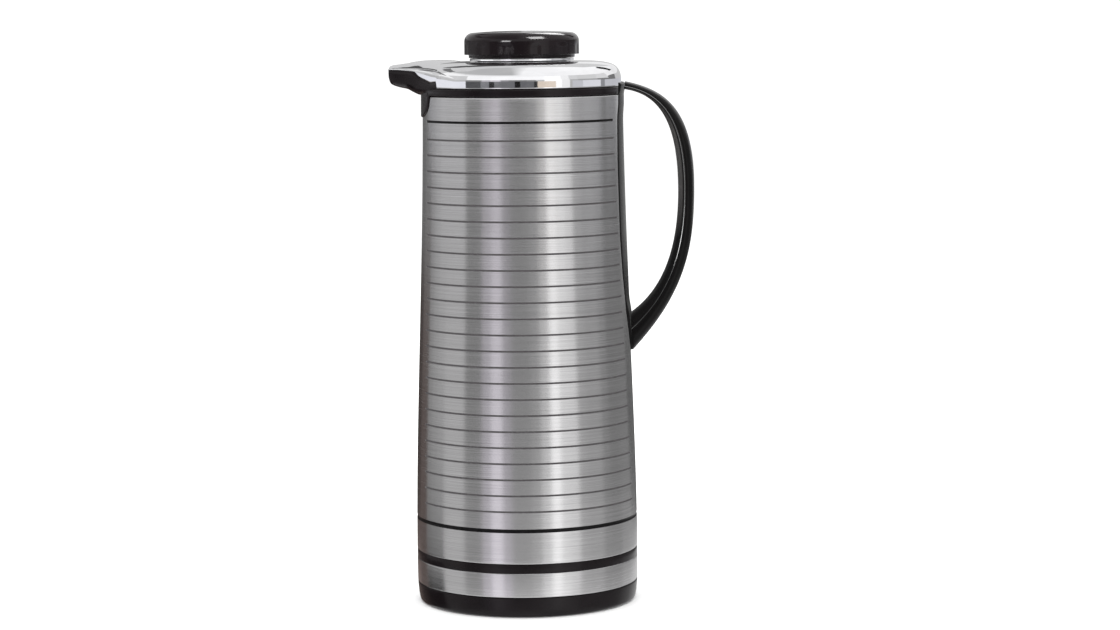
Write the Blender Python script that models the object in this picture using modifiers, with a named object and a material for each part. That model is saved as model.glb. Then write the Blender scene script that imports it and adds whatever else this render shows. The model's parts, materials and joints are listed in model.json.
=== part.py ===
"""A pour-spout vacuum jug with a glass refill and a screw stopper, built from its separate pieces.

Metres, +Z up, standing on z = 0.  The spout points to -X and the handle to +X.
"""

import math

import bmesh
import bpy
from mathutils import Vector

# Facets round a turned piece.
OUTSIDE_STEPS = 40
NECK_STEPS = 28
INSIDE_STEPS = 20
SCREW_STEPS = 10

# Clearance between neighbouring pieces.
GAP = 0.0003

# Outer shell: a Bezier outline (radius, height) from the shoulder down to the base.
SHELL_CURVE = ((0.0614, 0.3135), (0.0622, 0.2003), (0.0697, 0.1007), (0.0686, 0.0126))
SHELL_WALL = 0.0008
SHELL_RINGS = 6
SHELL_CURVE_END = 0.90
FLANGE_RADIUS = 0.0510
BOTTOM_LIP_RADIUS = 0.0660

# Black band round the foot of the shell, in a rolled groove.
BAND_BOTTOM = 0.0272
BAND_TOP = 0.0332
BAND_DEPTH = 0.0009
BAND_GAP = 0.0001

# Base.
BASE_RADIUS = 0.0686
BASE_FOOT_RADIUS = 0.0666
BASE_TOP = 0.0123
BASE_FLOOR_BOTTOM = 0.0015
BASE_FLOOR_TOP = 0.0039
SPIGOT_RADIUS = 0.0649
SPIGOT_TOP = 0.0240
PAD_RADIUS = 0.0597
PAD_THICKNESS = 0.0012
BASE_SCREW_CIRCLE = 0.0555

# Glass refill: four surfaces from the cavity outwards, as (body radius, neck radius, bottom depth, shoulder height).
CAVITY = (0.0505, 0.0225, 0.0165, 0.0325)
INNER_WALL_BACK = (0.0520, 0.0240, 0.0180, 0.0340)
OUTER_WALL_BACK = (0.0560, 0.0255, 0.0235, 0.0365)
GLASS_OUTSIDE = (0.0575, 0.0270, 0.0250, 0.0380)
GLASS_LOW = 0.0450
GLASS_HIGH = 0.2500
GLASS_NECK_TOP = 0.2975
PIP_RADIUS = 0.0030
PIP_BORE = 0.0016
PIP_BOTTOM = 0.0130
SPACER_RADIUS = 0.0040

# Pour neck.
NECK_OUTER = 0.0310
NECK_BORE = 0.0267
NECK_TOP = 0.3332
SEAT_TOP = 0.3011
SEAT_HOLE = 0.0200
NECK_FLANGE_RADIUS = 0.0400

# Three-start stopper thread.
THREAD_STARTS = 3
THREAD_LEAD = 0.0120
THREAD_TURNS = 0.58
THREAD_ROUND = 0.0010
THREAD_STEPS = 9
NECK_THREAD_RADIUS = 0.0260
NECK_THREAD_Z = 0.3210
PLUG_THREAD_RADIUS = 0.0246

# Shoulder collar, chrome cap and spout.
COLLAR_RADIUS = 0.0619
COLLAR_BOTTOM = 0.3138
COLLAR_TOP = 0.3180
CAP_RADIUS = 0.0610
CAP_WALL = 0.0012
CAP_HOLE = 0.0314
CAP_OUTLINE = (
    (0.0314, 0.3339),
    (0.0365, 0.3341),
    (0.0438, 0.3340),
    (0.0488, 0.3336),
    (0.0530, 0.3328),
    (0.0565, 0.3315),
    (0.0590, 0.3293),
    (0.0604, 0.3266),
    (0.0610, 0.3238),
)
# Stations along the spout: (x, half width, crown, edge of the roof, underside).
SPOUT_STATIONS = (
    (-0.0340, 0.0500, 0.3336, 0.3262, 0.3160),
    (-0.0400, 0.0452, 0.3347, 0.3274, 0.3150),
    (-0.0450, 0.0402, 0.3351, 0.3282, 0.3142),
    (-0.0500, 0.0345, 0.3352, 0.3288, 0.3140),
    (-0.0540, 0.0297, 0.3352, 0.3292, 0.3140),
    (-0.0580, 0.0249, 0.3351, 0.3296, 0.3140),
    (-0.0620, 0.0207, 0.3349, 0.3299, 0.3141),
    (-0.0665, 0.0171, 0.3343, 0.3302, 0.3158),
    (-0.0700, 0.0148, 0.3336, 0.3303, 0.3176),
    (-0.0750, 0.0121, 0.3329, 0.3304, 0.3187),
    (-0.0790, 0.0101, 0.3324, 0.3303, 0.3200),
    (-0.0808, 0.0091, 0.3319, 0.3303, 0.3212),
    (-0.0816, 0.0085, 0.3314, 0.3303, 0.3238),
)
# Channel down the spout: (x, half width, floor).
CHANNEL_STATIONS = (
    (-0.0280, 0.0128, 0.3186),
    (-0.0450, 0.0128, 0.3186),
    (-0.0580, 0.0128, 0.3188),
    (-0.0640, 0.0126, 0.3193),
    (-0.0700, 0.0114, 0.3200),
    (-0.0750, 0.0098, 0.3208),
    (-0.0790, 0.0080, 0.3219),
    (-0.0808, 0.0071, 0.3231),
    (-0.0830, 0.0066, 0.3262),
)
# Where the chrome ends and the black spout begins, seen from the side: (x, z).
SPOUT_SPLIT = (
    (-0.0494, 0.3185),
    (-0.0497, 0.3226),
    (-0.0516, 0.3224),
    (-0.0536, 0.3221),
    (-0.0553, 0.3227),
    (-0.0580, 0.3239),
    (-0.0600, 0.3248),
    (-0.0621, 0.3262),
    (-0.0641, 0.3284),
    (-0.0661, 0.3295),
    (-0.0706, 0.3300),
    (-0.0780, 0.3302),
    (-0.0900, 0.3302),
)
# Shield under the spout, lying on the shell: (height, half width).
SHIELD_STATIONS = (
    (0.3004, 0.0070),
    (0.3008, 0.0135),
    (0.3014, 0.0180),
    (0.3026, 0.0216),
    (0.3050, 0.0256),
    (0.3084, 0.0280),
    (0.3137, 0.0292),
    (0.3160, 0.0294),
)
SHIELD_THICKNESS = 0.0007
COLLAR_SCREW_CIRCLE = 0.0540

# Stopper.
PLUG_RADIUS = 0.0240
PLUG_FLANGE = 0.0300
KNOB_RADIUS = 0.0353
KNOB_TOP = 0.3527
KNOB_BOTTOM = 0.3383
LIP_RADIUS = 0.0326
LIP_BOTTOM = 0.3363
KNOB_ROUND = 0.0055
KNOB_FLUTES = 12
FLUTE_PHASE = 0.63
FLUTE_RADIUS = 0.0060
FLUTE_DEPTH = 0.0005

# Handle: Bezier outlines (x, z) of its outer and inner edge, from the shoulder to the foot.
HANDLE_OUTER = (
    ((0.0625, 0.3214), (0.0861, 0.3165), (0.1055, 0.3060), (0.1055, 0.2570)),
    ((0.1055, 0.2570), (0.1055, 0.2188), (0.0998, 0.1908), (0.0670, 0.1555)),
)
HANDLE_INNER = (
    ((0.0625, 0.3164), (0.0849, 0.3135), (0.0955, 0.2951), (0.0955, 0.2550)),
    ((0.0955, 0.2550), (0.0955, 0.2242), (0.0886, 0.1949), (0.0660, 0.1790)),
)
HANDLE_STATIONS = 22
HANDLE_WIDTHS = (0.0100, 0.0112, 0.0125, 0.0122, 0.0100)
HANDLE_SPLIT = 0.42
STRAP_THICKNESS = 0.0010
COVER_CLEARANCE = 0.0019
STRAP_BOTTOM = 0.1556
STRAP_TOP = 0.3208
# Half the angle that the strap spans round the shell, in degrees, evenly spaced from foot to top.
STRAP_HALF_ANGLES = (4.0, 12.0, 16.0, 17.5, 17.0, 16.0, 14.0, 12.0)
STRAP_STEP_Z = 0.3000
BOSS_RADIUS = 0.0040
TOP_SCREW_Z = 0.3030
FOOT_SCREW_Z = 0.1680

# Colours, metallic and roughness of each material.
MATERIALS = {
    "brushed_steel": ((0.56, 0.56, 0.57), 1.0, 0.32),
    "chrome": ((0.78, 0.78, 0.80), 1.0, 0.08),
    "black_plastic": ((0.028, 0.022, 0.024), 0.0, 0.30),
    "knob_plastic": ((0.025, 0.020, 0.024), 0.0, 0.35),
    "handle_plastic": ((0.022, 0.020, 0.021), 0.0, 0.38),
    "grey_plastic": ((0.30, 0.30, 0.29), 0.0, 0.50),
    "silvered_glass": ((0.72, 0.74, 0.75), 1.0, 0.06),
    "silicone": ((0.62, 0.60, 0.55), 0.0, 0.60),
    "rubber": ((0.035, 0.035, 0.035), 0.0, 0.80),
    "foam": ((0.80, 0.78, 0.72), 0.0, 0.90),
    "zinc_steel": ((0.50, 0.50, 0.48), 1.0, 0.40),
}


def clear_scene():
    for obj in list(bpy.data.objects):
        bpy.data.objects.remove(obj, do_unlink=True)


def new_collection(name, hidden):
    collection = bpy.data.collections.new(name)
    collection.hide_render = hidden
    bpy.context.scene.collection.children.link(collection)
    return collection


def make_material(name):
    colour, metallic, roughness = MATERIALS[name]
    material = bpy.data.materials.new(name)
    material.use_nodes = True
    shader = material.node_tree.nodes["Principled BSDF"]
    shader.inputs["Base Color"].default_value = (*colour, 1.0)
    shader.inputs["Metallic"].default_value = metallic
    shader.inputs["Roughness"].default_value = roughness
    return material


def bezier(points, t):
    a, b, c, d = (Vector(point) for point in points)
    s = 1.0 - t
    return s**3 * a + 3 * s * s * t * b + 3 * s * t * t * c + t**3 * d


def shell_radius(z):
    """Radius of the shell's outside at a height, by halving the Bezier's parameter range."""
    low, high = 0.0, 1.0
    for _ in range(30):
        middle = 0.5 * (low + high)
        if bezier(SHELL_CURVE, middle)[1] > z:
            low = middle
        else:
            high = middle
    return bezier(SHELL_CURVE, low)[0]


def signed_power(value, power):
    return math.copysign(abs(value) ** power, value)


def arc(centre, radii, start, end, count):
    """Points (r, z) along part of an ellipse, ends included; angles in degrees."""
    points = []
    for index in range(count):
        angle = math.radians(start + (end - start) * index / (count - 1))
        points.append((centre[0] + radii[0] * math.cos(angle), centre[1] + radii[1] * math.sin(angle)))
    return points


def place(name, mesh, collection, material=None):
    obj = bpy.data.objects.new(name, mesh)
    collection.objects.link(obj)
    if material:
        mesh.materials.append(material)
    return obj


def turned(name, profile, steps, collection, material=None, closed=True):
    """A solid of revolution; its profile runs down the outer side."""
    mesh = bpy.data.meshes.new(name)
    count = len(profile)
    edges = [(index, index + 1) for index in range(count - 1)]
    if closed:
        edges.append((count - 1, 0))
    mesh.from_pydata([(r, 0.0, z) for r, z in profile], edges, [])
    obj = place(name, mesh, collection, material)
    screw = obj.modifiers.new("Turn", "SCREW")
    screw.axis = "Z"
    screw.angle = math.tau
    screw.steps = steps
    screw.render_steps = steps
    screw.use_merge_vertices = True
    screw.merge_threshold = 0.00001
    screw.use_smooth_shade = True
    return obj


def lofted(name, sections, collection, material=None):
    """A closed body through sections with equal point counts."""
    mesh = bpy.data.meshes.new(name)
    solid = bmesh.new()
    loops = [[solid.verts.new(point) for point in section] for section in sections]
    size = len(sections[0])
    for first, second in zip(loops, loops[1:]):
        for index in range(size):
            after = (index + 1) % size
            solid.faces.new((first[index], first[after], second[after], second[index]))
    solid.faces.new(loops[0])
    solid.faces.new(loops[-1])
    bmesh.ops.recalc_face_normals(solid, faces=solid.faces)
    solid.to_mesh(mesh)
    solid.free()
    mesh.shade_smooth()
    return place(name, mesh, collection, material)


def block(name, low, high, collection, material=None):
    corners = [[(x, y, z) for x, y in ((low[0], low[1]), (high[0], low[1]), (high[0], high[1]), (low[0], high[1]))]
               for z in (low[2], high[2])]
    obj = lofted(name, corners, collection, material)
    obj.data.shade_flat()
    return obj


def rod(name, radius, start, end, steps, collection, material=None):
    """A plain cylinder between two points."""
    start, end = Vector(start), Vector(end)
    length = (end - start).length
    mesh = bpy.data.meshes.new(name)
    solid = bmesh.new()
    bmesh.ops.create_cone(solid, cap_ends=True, segments=steps, radius1=radius, radius2=radius, depth=length)
    solid.to_mesh(mesh)
    solid.free()
    obj = place(name, mesh, collection, material)
    obj.location = (start + end) / 2
    obj.rotation_mode = "QUATERNION"
    obj.rotation_quaternion = (end - start).to_track_quat("Z", "Y")
    return obj


def combine(target, other, operation):
    modifier = target.modifiers.new(operation.title() + " " + other.name, "BOOLEAN")
    modifier.operation = operation
    modifier.solver = "EXACT"
    modifier.object = other


def add(target, *others):
    for other in others:
        combine(target, other, "UNION")


def cut(target, *others):
    for other in others:
        combine(target, other, "DIFFERENCE")


def keep(target, other):
    combine(target, other, "INTERSECT")


def on_circle(radius, angle):
    return radius * math.cos(angle), radius * math.sin(angle)


def screw(name, at, direction, head_radius, head_height, shank_radius, length, collection, material):
    """A pan-head screw; the underside of its head is at the given point and the shank runs along the direction."""
    profile = (
        (0.0, head_height),
        (0.7 * head_radius, head_height),
        (head_radius, 0.5 * head_height),
        (head_radius, 0.0),
        (shank_radius, 0.0),
        (shank_radius, -length + shank_radius),
        (0.0, -length),
    )
    obj = turned(name, profile, SCREW_STEPS, collection, material, closed=False)
    obj.location = at
    obj.rotation_mode = "QUATERNION"
    obj.rotation_quaternion = Vector(direction).to_track_quat("-Z", "Y")
    return obj


def thread_ridges(name, radius, start_z, cutters):
    """Round helical ridges, one for each start, as separate cutter bodies."""
    ridges = []
    for start in range(THREAD_STARTS):
        curve = bpy.data.curves.new(f"{name}_{start}", "CURVE")
        curve.dimensions = "3D"
        curve.bevel_depth = THREAD_ROUND
        curve.bevel_resolution = 2
        curve.use_fill_caps = True
        spline = curve.splines.new("POLY")
        spline.points.add(THREAD_STEPS)
        for index, point in enumerate(spline.points):
            turns = THREAD_TURNS * index / THREAD_STEPS
            x, y = on_circle(radius, math.tau * (turns + start / THREAD_STARTS))
            point.co = (x, y, start_z + THREAD_LEAD * turns, 1.0)
        helix = bpy.data.objects.new(f"{name}_{start}", curve)
        cutters.objects.link(helix)
        bpy.context.view_layer.update()
        mesh = bpy.data.meshes.new_from_object(helix.evaluated_get(bpy.context.evaluated_depsgraph_get()))
        bpy.data.objects.remove(helix, do_unlink=True)
        solid = bmesh.new()
        solid.from_mesh(mesh)
        bmesh.ops.remove_doubles(solid, verts=solid.verts, dist=0.00001)
        bmesh.ops.recalc_face_normals(solid, faces=solid.faces)
        solid.to_mesh(mesh)
        solid.free()
        ridges.append(place(f"{name}_{start}", mesh, cutters))
    return ridges


def outer_shell(parts, cutters, material):
    """Tapered steel tube with a flange at the top, a lip at the bottom and a groove for the band."""
    outside = [(FLANGE_RADIUS, SHELL_CURVE[0][1])]
    band_outer = shell_radius(BAND_TOP)
    for index in range(SHELL_RINGS + 1):
        radius, z = bezier(SHELL_CURVE, SHELL_CURVE_END * index / SHELL_RINGS)
        outside.append((radius, z))
    groove = [
        (band_outer, BAND_TOP),
        (band_outer - BAND_DEPTH, BAND_TOP),
        (band_outer - BAND_DEPTH, BAND_BOTTOM),
        (band_outer, BAND_BOTTOM),
    ]
    outside += groove
    outside.append((shell_radius(SHELL_CURVE[3][1] + GAP), SHELL_CURVE[3][1]))
    outside.append((BOTTOM_LIP_RADIUS, SHELL_CURVE[3][1]))
    inside = [
        (BOTTOM_LIP_RADIUS, SHELL_CURVE[3][1] + SHELL_WALL),
        (shell_radius(0.014) - SHELL_WALL, SHELL_CURVE[3][1] + SHELL_WALL),
        (band_outer - SHELL_WALL, BAND_BOTTOM - SHELL_WALL),
        (band_outer - BAND_DEPTH - SHELL_WALL, BAND_BOTTOM - SHELL_WALL / 2),
        (band_outer - BAND_DEPTH - SHELL_WALL, BAND_TOP + SHELL_WALL / 2),
        (band_outer - SHELL_WALL, BAND_TOP + 2 * SHELL_WALL),
    ]
    for index in range(3, 0, -1):
        radius, z = bezier(SHELL_CURVE, 0.80 * index / 3)
        inside.append((radius - SHELL_WALL, z))
    inside.append((SHELL_CURVE[0][0] - SHELL_WALL, SHELL_CURVE[0][1] - SHELL_WALL))
    inside.append((FLANGE_RADIUS, SHELL_CURVE[0][1] - SHELL_WALL))
    obj = turned("outer_shell", outside + inside, OUTSIDE_STEPS, parts, material)
    for name, z in (("shell_hole_top", TOP_SCREW_Z), ("shell_hole_foot", FOOT_SCREW_Z)):
        cut(obj, rod(name, BOSS_RADIUS + GAP, (0.055, 0.0, z), (0.072, 0.0, z), 16, cutters))
    for index in range(3):
        x, y = on_circle(COLLAR_SCREW_CIRCLE, math.tau * index / 3)
        cut(obj, rod(f"flange_hole_{index}", 0.0019, (x, y, 0.310), (x, y, 0.315), SCREW_STEPS, cutters))
    return obj


def trim_band(parts, material):
    outer = shell_radius(BAND_TOP)
    inner = outer - BAND_DEPTH + BAND_GAP
    bottom = BAND_BOTTOM + BAND_GAP
    top = BAND_TOP - BAND_GAP
    profile = ((inner, top), (outer, top), (outer, bottom), (inner, bottom))
    return turned("trim_band", profile, OUTSIDE_STEPS, parts, material)


def base_cap(parts, cutters, material):
    """Foot of the jug: a rounded rim, a floor, and a spigot that goes up inside the shell."""
    recess = PAD_RADIUS + GAP
    profile = (
        (0.0, BASE_FLOOR_TOP),
        (0.0610, BASE_FLOOR_TOP),
        (0.0625, 0.0060),
        (0.0625, SPIGOT_TOP),
        (SPIGOT_RADIUS, SPIGOT_TOP),
        (SPIGOT_RADIUS, BASE_TOP),
        (BASE_RADIUS, BASE_TOP),
        (BASE_RADIUS - 0.0008, 0.0060),
        (BASE_FOOT_RADIUS + 0.0008, 0.0016),
        (BASE_FOOT_RADIUS, 0.0004),
        (BASE_FOOT_RADIUS - 0.0010, 0.0),
        (recess, 0.0),
        (recess, BASE_FLOOR_BOTTOM),
        (0.0, BASE_FLOOR_BOTTOM),
    )
    obj = turned("base_cap", profile, OUTSIDE_STEPS, parts, material, closed=False)
    for index in range(3):
        x, y = on_circle(BASE_SCREW_CIRCLE, math.tau * (index + 0.5) / 3)
        add(obj, rod(f"base_boss_{index}", 0.0043, (x, y, 0.0020), (x, y, SPIGOT_TOP), SCREW_STEPS, cutters))
        cut(obj, rod(f"base_sink_{index}", 0.0034, (x, y, 0.0000), (x, y, 0.0044), SCREW_STEPS, cutters))
        cut(obj, rod(f"base_bore_{index}", 0.0020, (x, y, 0.0030), (x, y, 0.0260), SCREW_STEPS, cutters))
    return obj


def base_ring(parts, cutters, material):
    """Ring bonded inside the shell that takes the base screws."""
    outer = shell_radius(BAND_TOP) - BAND_DEPTH - SHELL_WALL - GAP
    profile = (
        (0.0508, 0.0268),
        (outer, 0.0268),
        (outer, 0.0140),
        (SPIGOT_RADIUS + GAP, 0.0140),
        (SPIGOT_RADIUS + GAP, SPIGOT_TOP + GAP),
        (0.0508, SPIGOT_TOP + GAP),
    )
    obj = turned("base_ring", profile, OUTSIDE_STEPS, parts, material)
    for index in range(3):
        x, y = on_circle(BASE_SCREW_CIRCLE, math.tau * (index + 0.5) / 3)
        cut(obj, rod(f"ring_bore_{index}", 0.0019, (x, y, 0.0230), (x, y, 0.0280), SCREW_STEPS, cutters))
    return obj


def base_screws(parts, material):
    for index in range(3):
        x, y = on_circle(BASE_SCREW_CIRCLE, math.tau * (index + 0.5) / 3)
        screw(f"base_screw_{index + 1}", (x, y, 0.0041), (0, 0, 1), 0.0030, 0.0020, 0.0016, 0.0240, parts, material)


def base_pad(parts, material):
    """Rubber foot disc with two shallow rings in its underside."""
    profile = (
        (0.0, PAD_THICKNESS),
        (PAD_RADIUS, PAD_THICKNESS),
        (PAD_RADIUS, 0.0),
        (0.0460, 0.0),
        (0.0455, 0.0005),
        (0.0425, 0.0005),
        (0.0420, 0.0),
        (0.0240, 0.0),
        (0.0235, 0.0005),
        (0.0205, 0.0005),
        (0.0200, 0.0),
        (0.0, 0.0),
    )
    return turned("base_pad", profile, INSIDE_STEPS, parts, material, closed=False)


def glass_surface(surface, count):
    """Outline (r, z) of one glass surface, from its shoulder down to the bottom centre."""
    body, neck, depth, rise = surface
    shoulder = arc((neck, GLASS_HIGH), (body - neck, rise), 86, 0, count)
    bottom = arc((0.0, GLASS_LOW), (body, depth), 0, -87, count)
    return shoulder + bottom


def glass_bottom(radius, below):
    """Height of a surface held a given distance under the refill's rounded bottom."""
    body, _, depth, _ = GLASS_OUTSIDE
    return GLASS_LOW - depth * math.sqrt(1.0 - (radius / body) ** 2) - below


def glass_liner(parts, material):
    """Double-walled refill; the space between its walls opens at the pip, where it was pumped out."""
    cavity = glass_surface(CAVITY, 5)
    inner_back = glass_surface(INNER_WALL_BACK, 5)
    outer_back = glass_surface(OUTER_WALL_BACK, 5)
    outside = glass_surface(GLASS_OUTSIDE, 5)
    pip_top = GLASS_LOW - OUTER_WALL_BACK[2]
    profile = [(0.0, GLASS_LOW - CAVITY[2])]
    profile += reversed(cavity)
    profile += [(CAVITY[1], GLASS_NECK_TOP), (GLASS_OUTSIDE[1], GLASS_NECK_TOP)]
    profile += outside
    profile += [(PIP_RADIUS, PIP_BOTTOM), (PIP_BORE, PIP_BOTTOM), (PIP_BORE, pip_top)]
    profile += reversed(outer_back)
    profile += [(OUTER_WALL_BACK[1], GLASS_NECK_TOP - 0.003), (INNER_WALL_BACK[1], GLASS_NECK_TOP - 0.003)]
    profile += inner_back
    profile.append((0.0, GLASS_LOW - INNER_WALL_BACK[2]))
    return turned("glass_liner", profile, INSIDE_STEPS, parts, material, closed=False)


def liner_spacers(parts, material):
    """Three pads that keep the refill's walls apart."""
    inner = INNER_WALL_BACK[0] + 0.0005
    outer = OUTER_WALL_BACK[0] - 0.0014
    for index in range(3):
        angle = math.tau * index / 3
        start = (*on_circle(inner, angle), 0.062)
        end = (*on_circle(outer, angle), 0.062)
        rod(f"liner_spacer_{index + 1}", SPACER_RADIUS, start, end, SCREW_STEPS, parts, material)


def liner_cushion(parts, material):
    """Rubber dish under the refill, open round the pip."""
    radii = (0.0520, 0.0440, 0.0330, 0.0220, 0.0120)
    top = [(r, glass_bottom(r, 0.0006)) for r in reversed(radii)]
    below = [(r, glass_bottom(r, 0.0034)) for r in radii]
    return turned("liner_cushion", top + below, INSIDE_STEPS, parts, material)


def liner_support(parts, material):
    """Dished stand on the base floor that carries the cushion and the refill."""
    radii = (0.0500, 0.0410, 0.0310, 0.0200)
    foot = BASE_FLOOR_TOP + GAP
    top = [(r, glass_bottom(r, 0.0040)) for r in reversed(radii)]
    outside = [(0.0500, foot), (0.0475, foot), (0.0475, 0.0215)]
    below = [(0.0400, glass_bottom(0.0400, 0.0062)), (0.0300, glass_bottom(0.0300, 0.0062))]
    inside = [(0.0225, glass_bottom(0.0225, 0.0062)), (0.0225, foot), (0.0200, foot)]
    return turned("liner_support", top + outside + below + inside, INSIDE_STEPS, parts, material)


def liner_collar(parts, material):
    """Foam ring that centres the refill's shoulder in the shell."""
    profile = (
        (0.0502, 0.2760),
        (0.0606, 0.2760),
        (0.0606, 0.2620),
        (0.0570, 0.2620),
        (0.0542, 0.2695),
    )
    return turned("liner_collar", profile, INSIDE_STEPS, parts, material)


def neck_gasket(parts, material):
    profile = ((0.0215, 0.2987), (0.0282, 0.2987), (0.0282, 0.2978), (0.0215, 0.2978))
    return turned("neck_gasket", profile, INSIDE_STEPS, parts, material)


def pour_neck(parts, cutters, material):
    """Threaded neck over the refill's mouth, with the stopper's seat and a window to the spout."""
    skirt = 0.0286
    profile = (
        (NECK_OUTER, NECK_TOP),
        (NECK_OUTER, 0.3134),
        (NECK_FLANGE_RADIUS, 0.3134),
        (NECK_FLANGE_RADIUS, 0.3114),
        (NECK_OUTER, 0.3114),
        (NECK_OUTER, 0.2920),
        (skirt, 0.2920),
        (skirt, 0.2990),
        (SEAT_HOLE, 0.2990),
        (SEAT_HOLE, SEAT_TOP),
        (NECK_BORE, SEAT_TOP),
        (NECK_BORE, NECK_TOP - 0.0015),
        (NECK_BORE + 0.0008, NECK_TOP),
    )
    obj = turned("pour_neck", profile, NECK_STEPS, parts, material)
    add(obj, *thread_ridges("neck_ridge", NECK_THREAD_RADIUS, NECK_THREAD_Z, cutters))
    cut(obj, block("spout_window", (-0.040, -0.0126, 0.3190), (-0.020, 0.0126, 0.3284), cutters))
    return obj


def clamp_ring(parts, cutters, material):
    """Ring under the shell's flange that takes the collar screws."""
    profile = ((0.0485, 0.3124), (0.0598, 0.3124), (0.0598, 0.3092), (0.0485, 0.3092))
    obj = turned("clamp_ring", profile, INSIDE_STEPS, parts, material)
    for index in range(3):
        x, y = on_circle(COLLAR_SCREW_CIRCLE, math.tau * index / 3)
        cut(obj, rod(f"clamp_bore_{index}", 0.0018, (x, y, 0.3080), (x, y, 0.3140), SCREW_STEPS, cutters))
    return obj


def spout_section(x, half_width, crown, edge, bottom):
    """Cross-section of the spout: a squarish hull below its edge and a low crowned roof above it."""
    lower, upper = 10, 8
    points = []
    for index in range(lower + 1):
        angle = math.pi * index / lower
        y = half_width * signed_power(math.cos(angle), 0.5)
        z = edge - (edge - bottom) * signed_power(math.sin(angle), 0.5)
        points.append((x, y, z))
    for index in range(1, upper):
        across = -1.0 + 2.0 * index / upper
        points.append((x, half_width * across, edge + (crown - edge) * (1.0 - abs(across) ** 1.6)))
    return points


def spout_body(name, wall, collection):
    sections = []
    for x, half_width, crown, edge, bottom in SPOUT_STATIONS:
        sections.append(spout_section(x, half_width - wall, crown - wall, edge - wall, bottom + wall))
    return lofted(name, sections, collection)


def cap_profile(wall, foot):
    """Outline of the cap's dome moved inwards by a wall thickness, down to a foot height, closed on the axis."""
    points = [(0.0, CAP_OUTLINE[0][1] - wall)]
    for index, (radius, z) in enumerate(CAP_OUTLINE):
        lean = min(1.0, max(0.0, (radius - 0.050) / (CAP_RADIUS - 0.050)))
        points.append((radius - wall * lean, z - wall * (1.0 - 0.6 * lean)))
    points += [(CAP_RADIUS - wall, foot), (0.0, foot)]
    return points


def side_prism(name, outline, half_depth, shift, collection):
    """An outline (x, z) seen from the side, carried across the object's whole width."""
    sections = []
    for y in (-half_depth, half_depth):
        sections.append([(x + shift, y, z + shift) for x, z in outline])
    return lofted(name, sections, collection)


def split_outline():
    return (*SPOUT_SPLIT, (-0.0900, 0.3000), (SPOUT_SPLIT[0][0], 0.3000))


def chrome_cap(parts, cutters, material):
    """Domed cover with the roof of the spout, open where the black spout comes out."""
    obj = turned("chrome_cap", cap_profile(0.0, COLLAR_TOP + GAP), OUTSIDE_STEPS, parts, material, closed=False)
    add(obj, spout_body("cap_spout", 0.0, cutters))
    cut(
        obj,
        turned("cap_hollow", cap_profile(CAP_WALL, 0.3100), OUTSIDE_STEPS, cutters, closed=False),
        spout_body("cap_spout_hollow", CAP_WALL, cutters),
        side_prism("cap_split", split_outline(), 0.050, GAP, cutters),
        block("cap_trim", (-0.100, -0.080, 0.300), (0.080, 0.080, COLLAR_TOP + GAP), cutters),
        rod("cap_hole", CAP_HOLE, (0, 0, 0.320), (0, 0, 0.340), OUTSIDE_STEPS, cutters),
    )
    return obj


def shield(cutters):
    """Black shield under the spout that lies on the shell."""
    sections = []
    for z, half_width in SHIELD_STATIONS:
        body = shell_radius(min(z, SHELL_CURVE[0][1]))
        inner = body + GAP if z < COLLAR_BOTTOM else COLLAR_RADIUS - 0.002
        outer = body + GAP + SHIELD_THICKNESS
        reach = math.asin(half_width / outer)
        angles = [math.pi + reach * (-1.0 + 2.0 * index / 10) for index in range(11)]
        outside = [(*on_circle(outer, angle), z) for angle in angles]
        inside = [(*on_circle(inner, angle), z) for angle in reversed(angles)]
        sections.append(outside + inside)
    return lofted("shield", sections, cutters)


def channel(cutters):
    sections = []
    for x, half_width, floor in CHANNEL_STATIONS:
        corner = 0.25 * half_width
        sections.append([
            (x, -half_width, 0.3380),
            (x, -half_width, floor + corner),
            (x, -half_width + corner, floor),
            (x, half_width - corner, floor),
            (x, half_width, floor + corner),
            (x, half_width, 0.3380),
        ])
    return lofted("channel", sections, cutters)


def trough(cutters):
    """Inner end of the channel, from the pour neck to the spout."""
    sections = []
    for x, top in ((-0.0270, 0.3284), (-0.0450, 0.3276), (-0.0520, 0.3262), (-0.0592, 0.3234)):
        sections.append([(x, -0.0147, 0.3150), (x, 0.0147, 0.3150), (x, 0.0147, top), (x, -0.0147, top)])
    return lofted("trough", sections, cutters)


def shoulder_collar(parts, cutters, material):
    """Black collar between shell and cap, in one piece with the spout, its channel and the shield."""
    lip = 0.0582
    ring = (
        (lip, 0.3220),
        (0.0594, 0.3220),
        (0.0594, COLLAR_TOP),
        (COLLAR_RADIUS, COLLAR_TOP),
        (COLLAR_RADIUS, COLLAR_BOTTOM),
        (0.0360, COLLAR_BOTTOM),
        (0.0360, 0.3160),
        (lip, 0.3160),
    )
    dome = cap_profile(0.0, 0.3145)
    obj = turned("shoulder_collar", dome, OUTSIDE_STEPS, parts, material, closed=False)
    add(obj, spout_body("collar_spout", 0.0, cutters))
    keep(obj, side_prism("collar_split", split_outline(), 0.050, 0.0, cutters))
    cut(obj, rod("collar_hollow", lip, (0, 0, 0.3000), (0, 0, 0.3400), OUTSIDE_STEPS, cutters))
    add(obj, turned("collar_ring", ring, OUTSIDE_STEPS, cutters), trough(cutters), shield(cutters))
    cut(obj, channel(cutters), rod("collar_neck", NECK_OUTER + GAP, (0, 0, 0.3), (0, 0, 0.34), NECK_STEPS, cutters))
    for index in range(3):
        x, y = on_circle(COLLAR_SCREW_CIRCLE, math.tau * index / 3)
        cut(obj, rod(f"collar_bore_{index}", 0.0019, (x, y, 0.3120), (x, y, 0.3170), SCREW_STEPS, cutters))
    return obj


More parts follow.
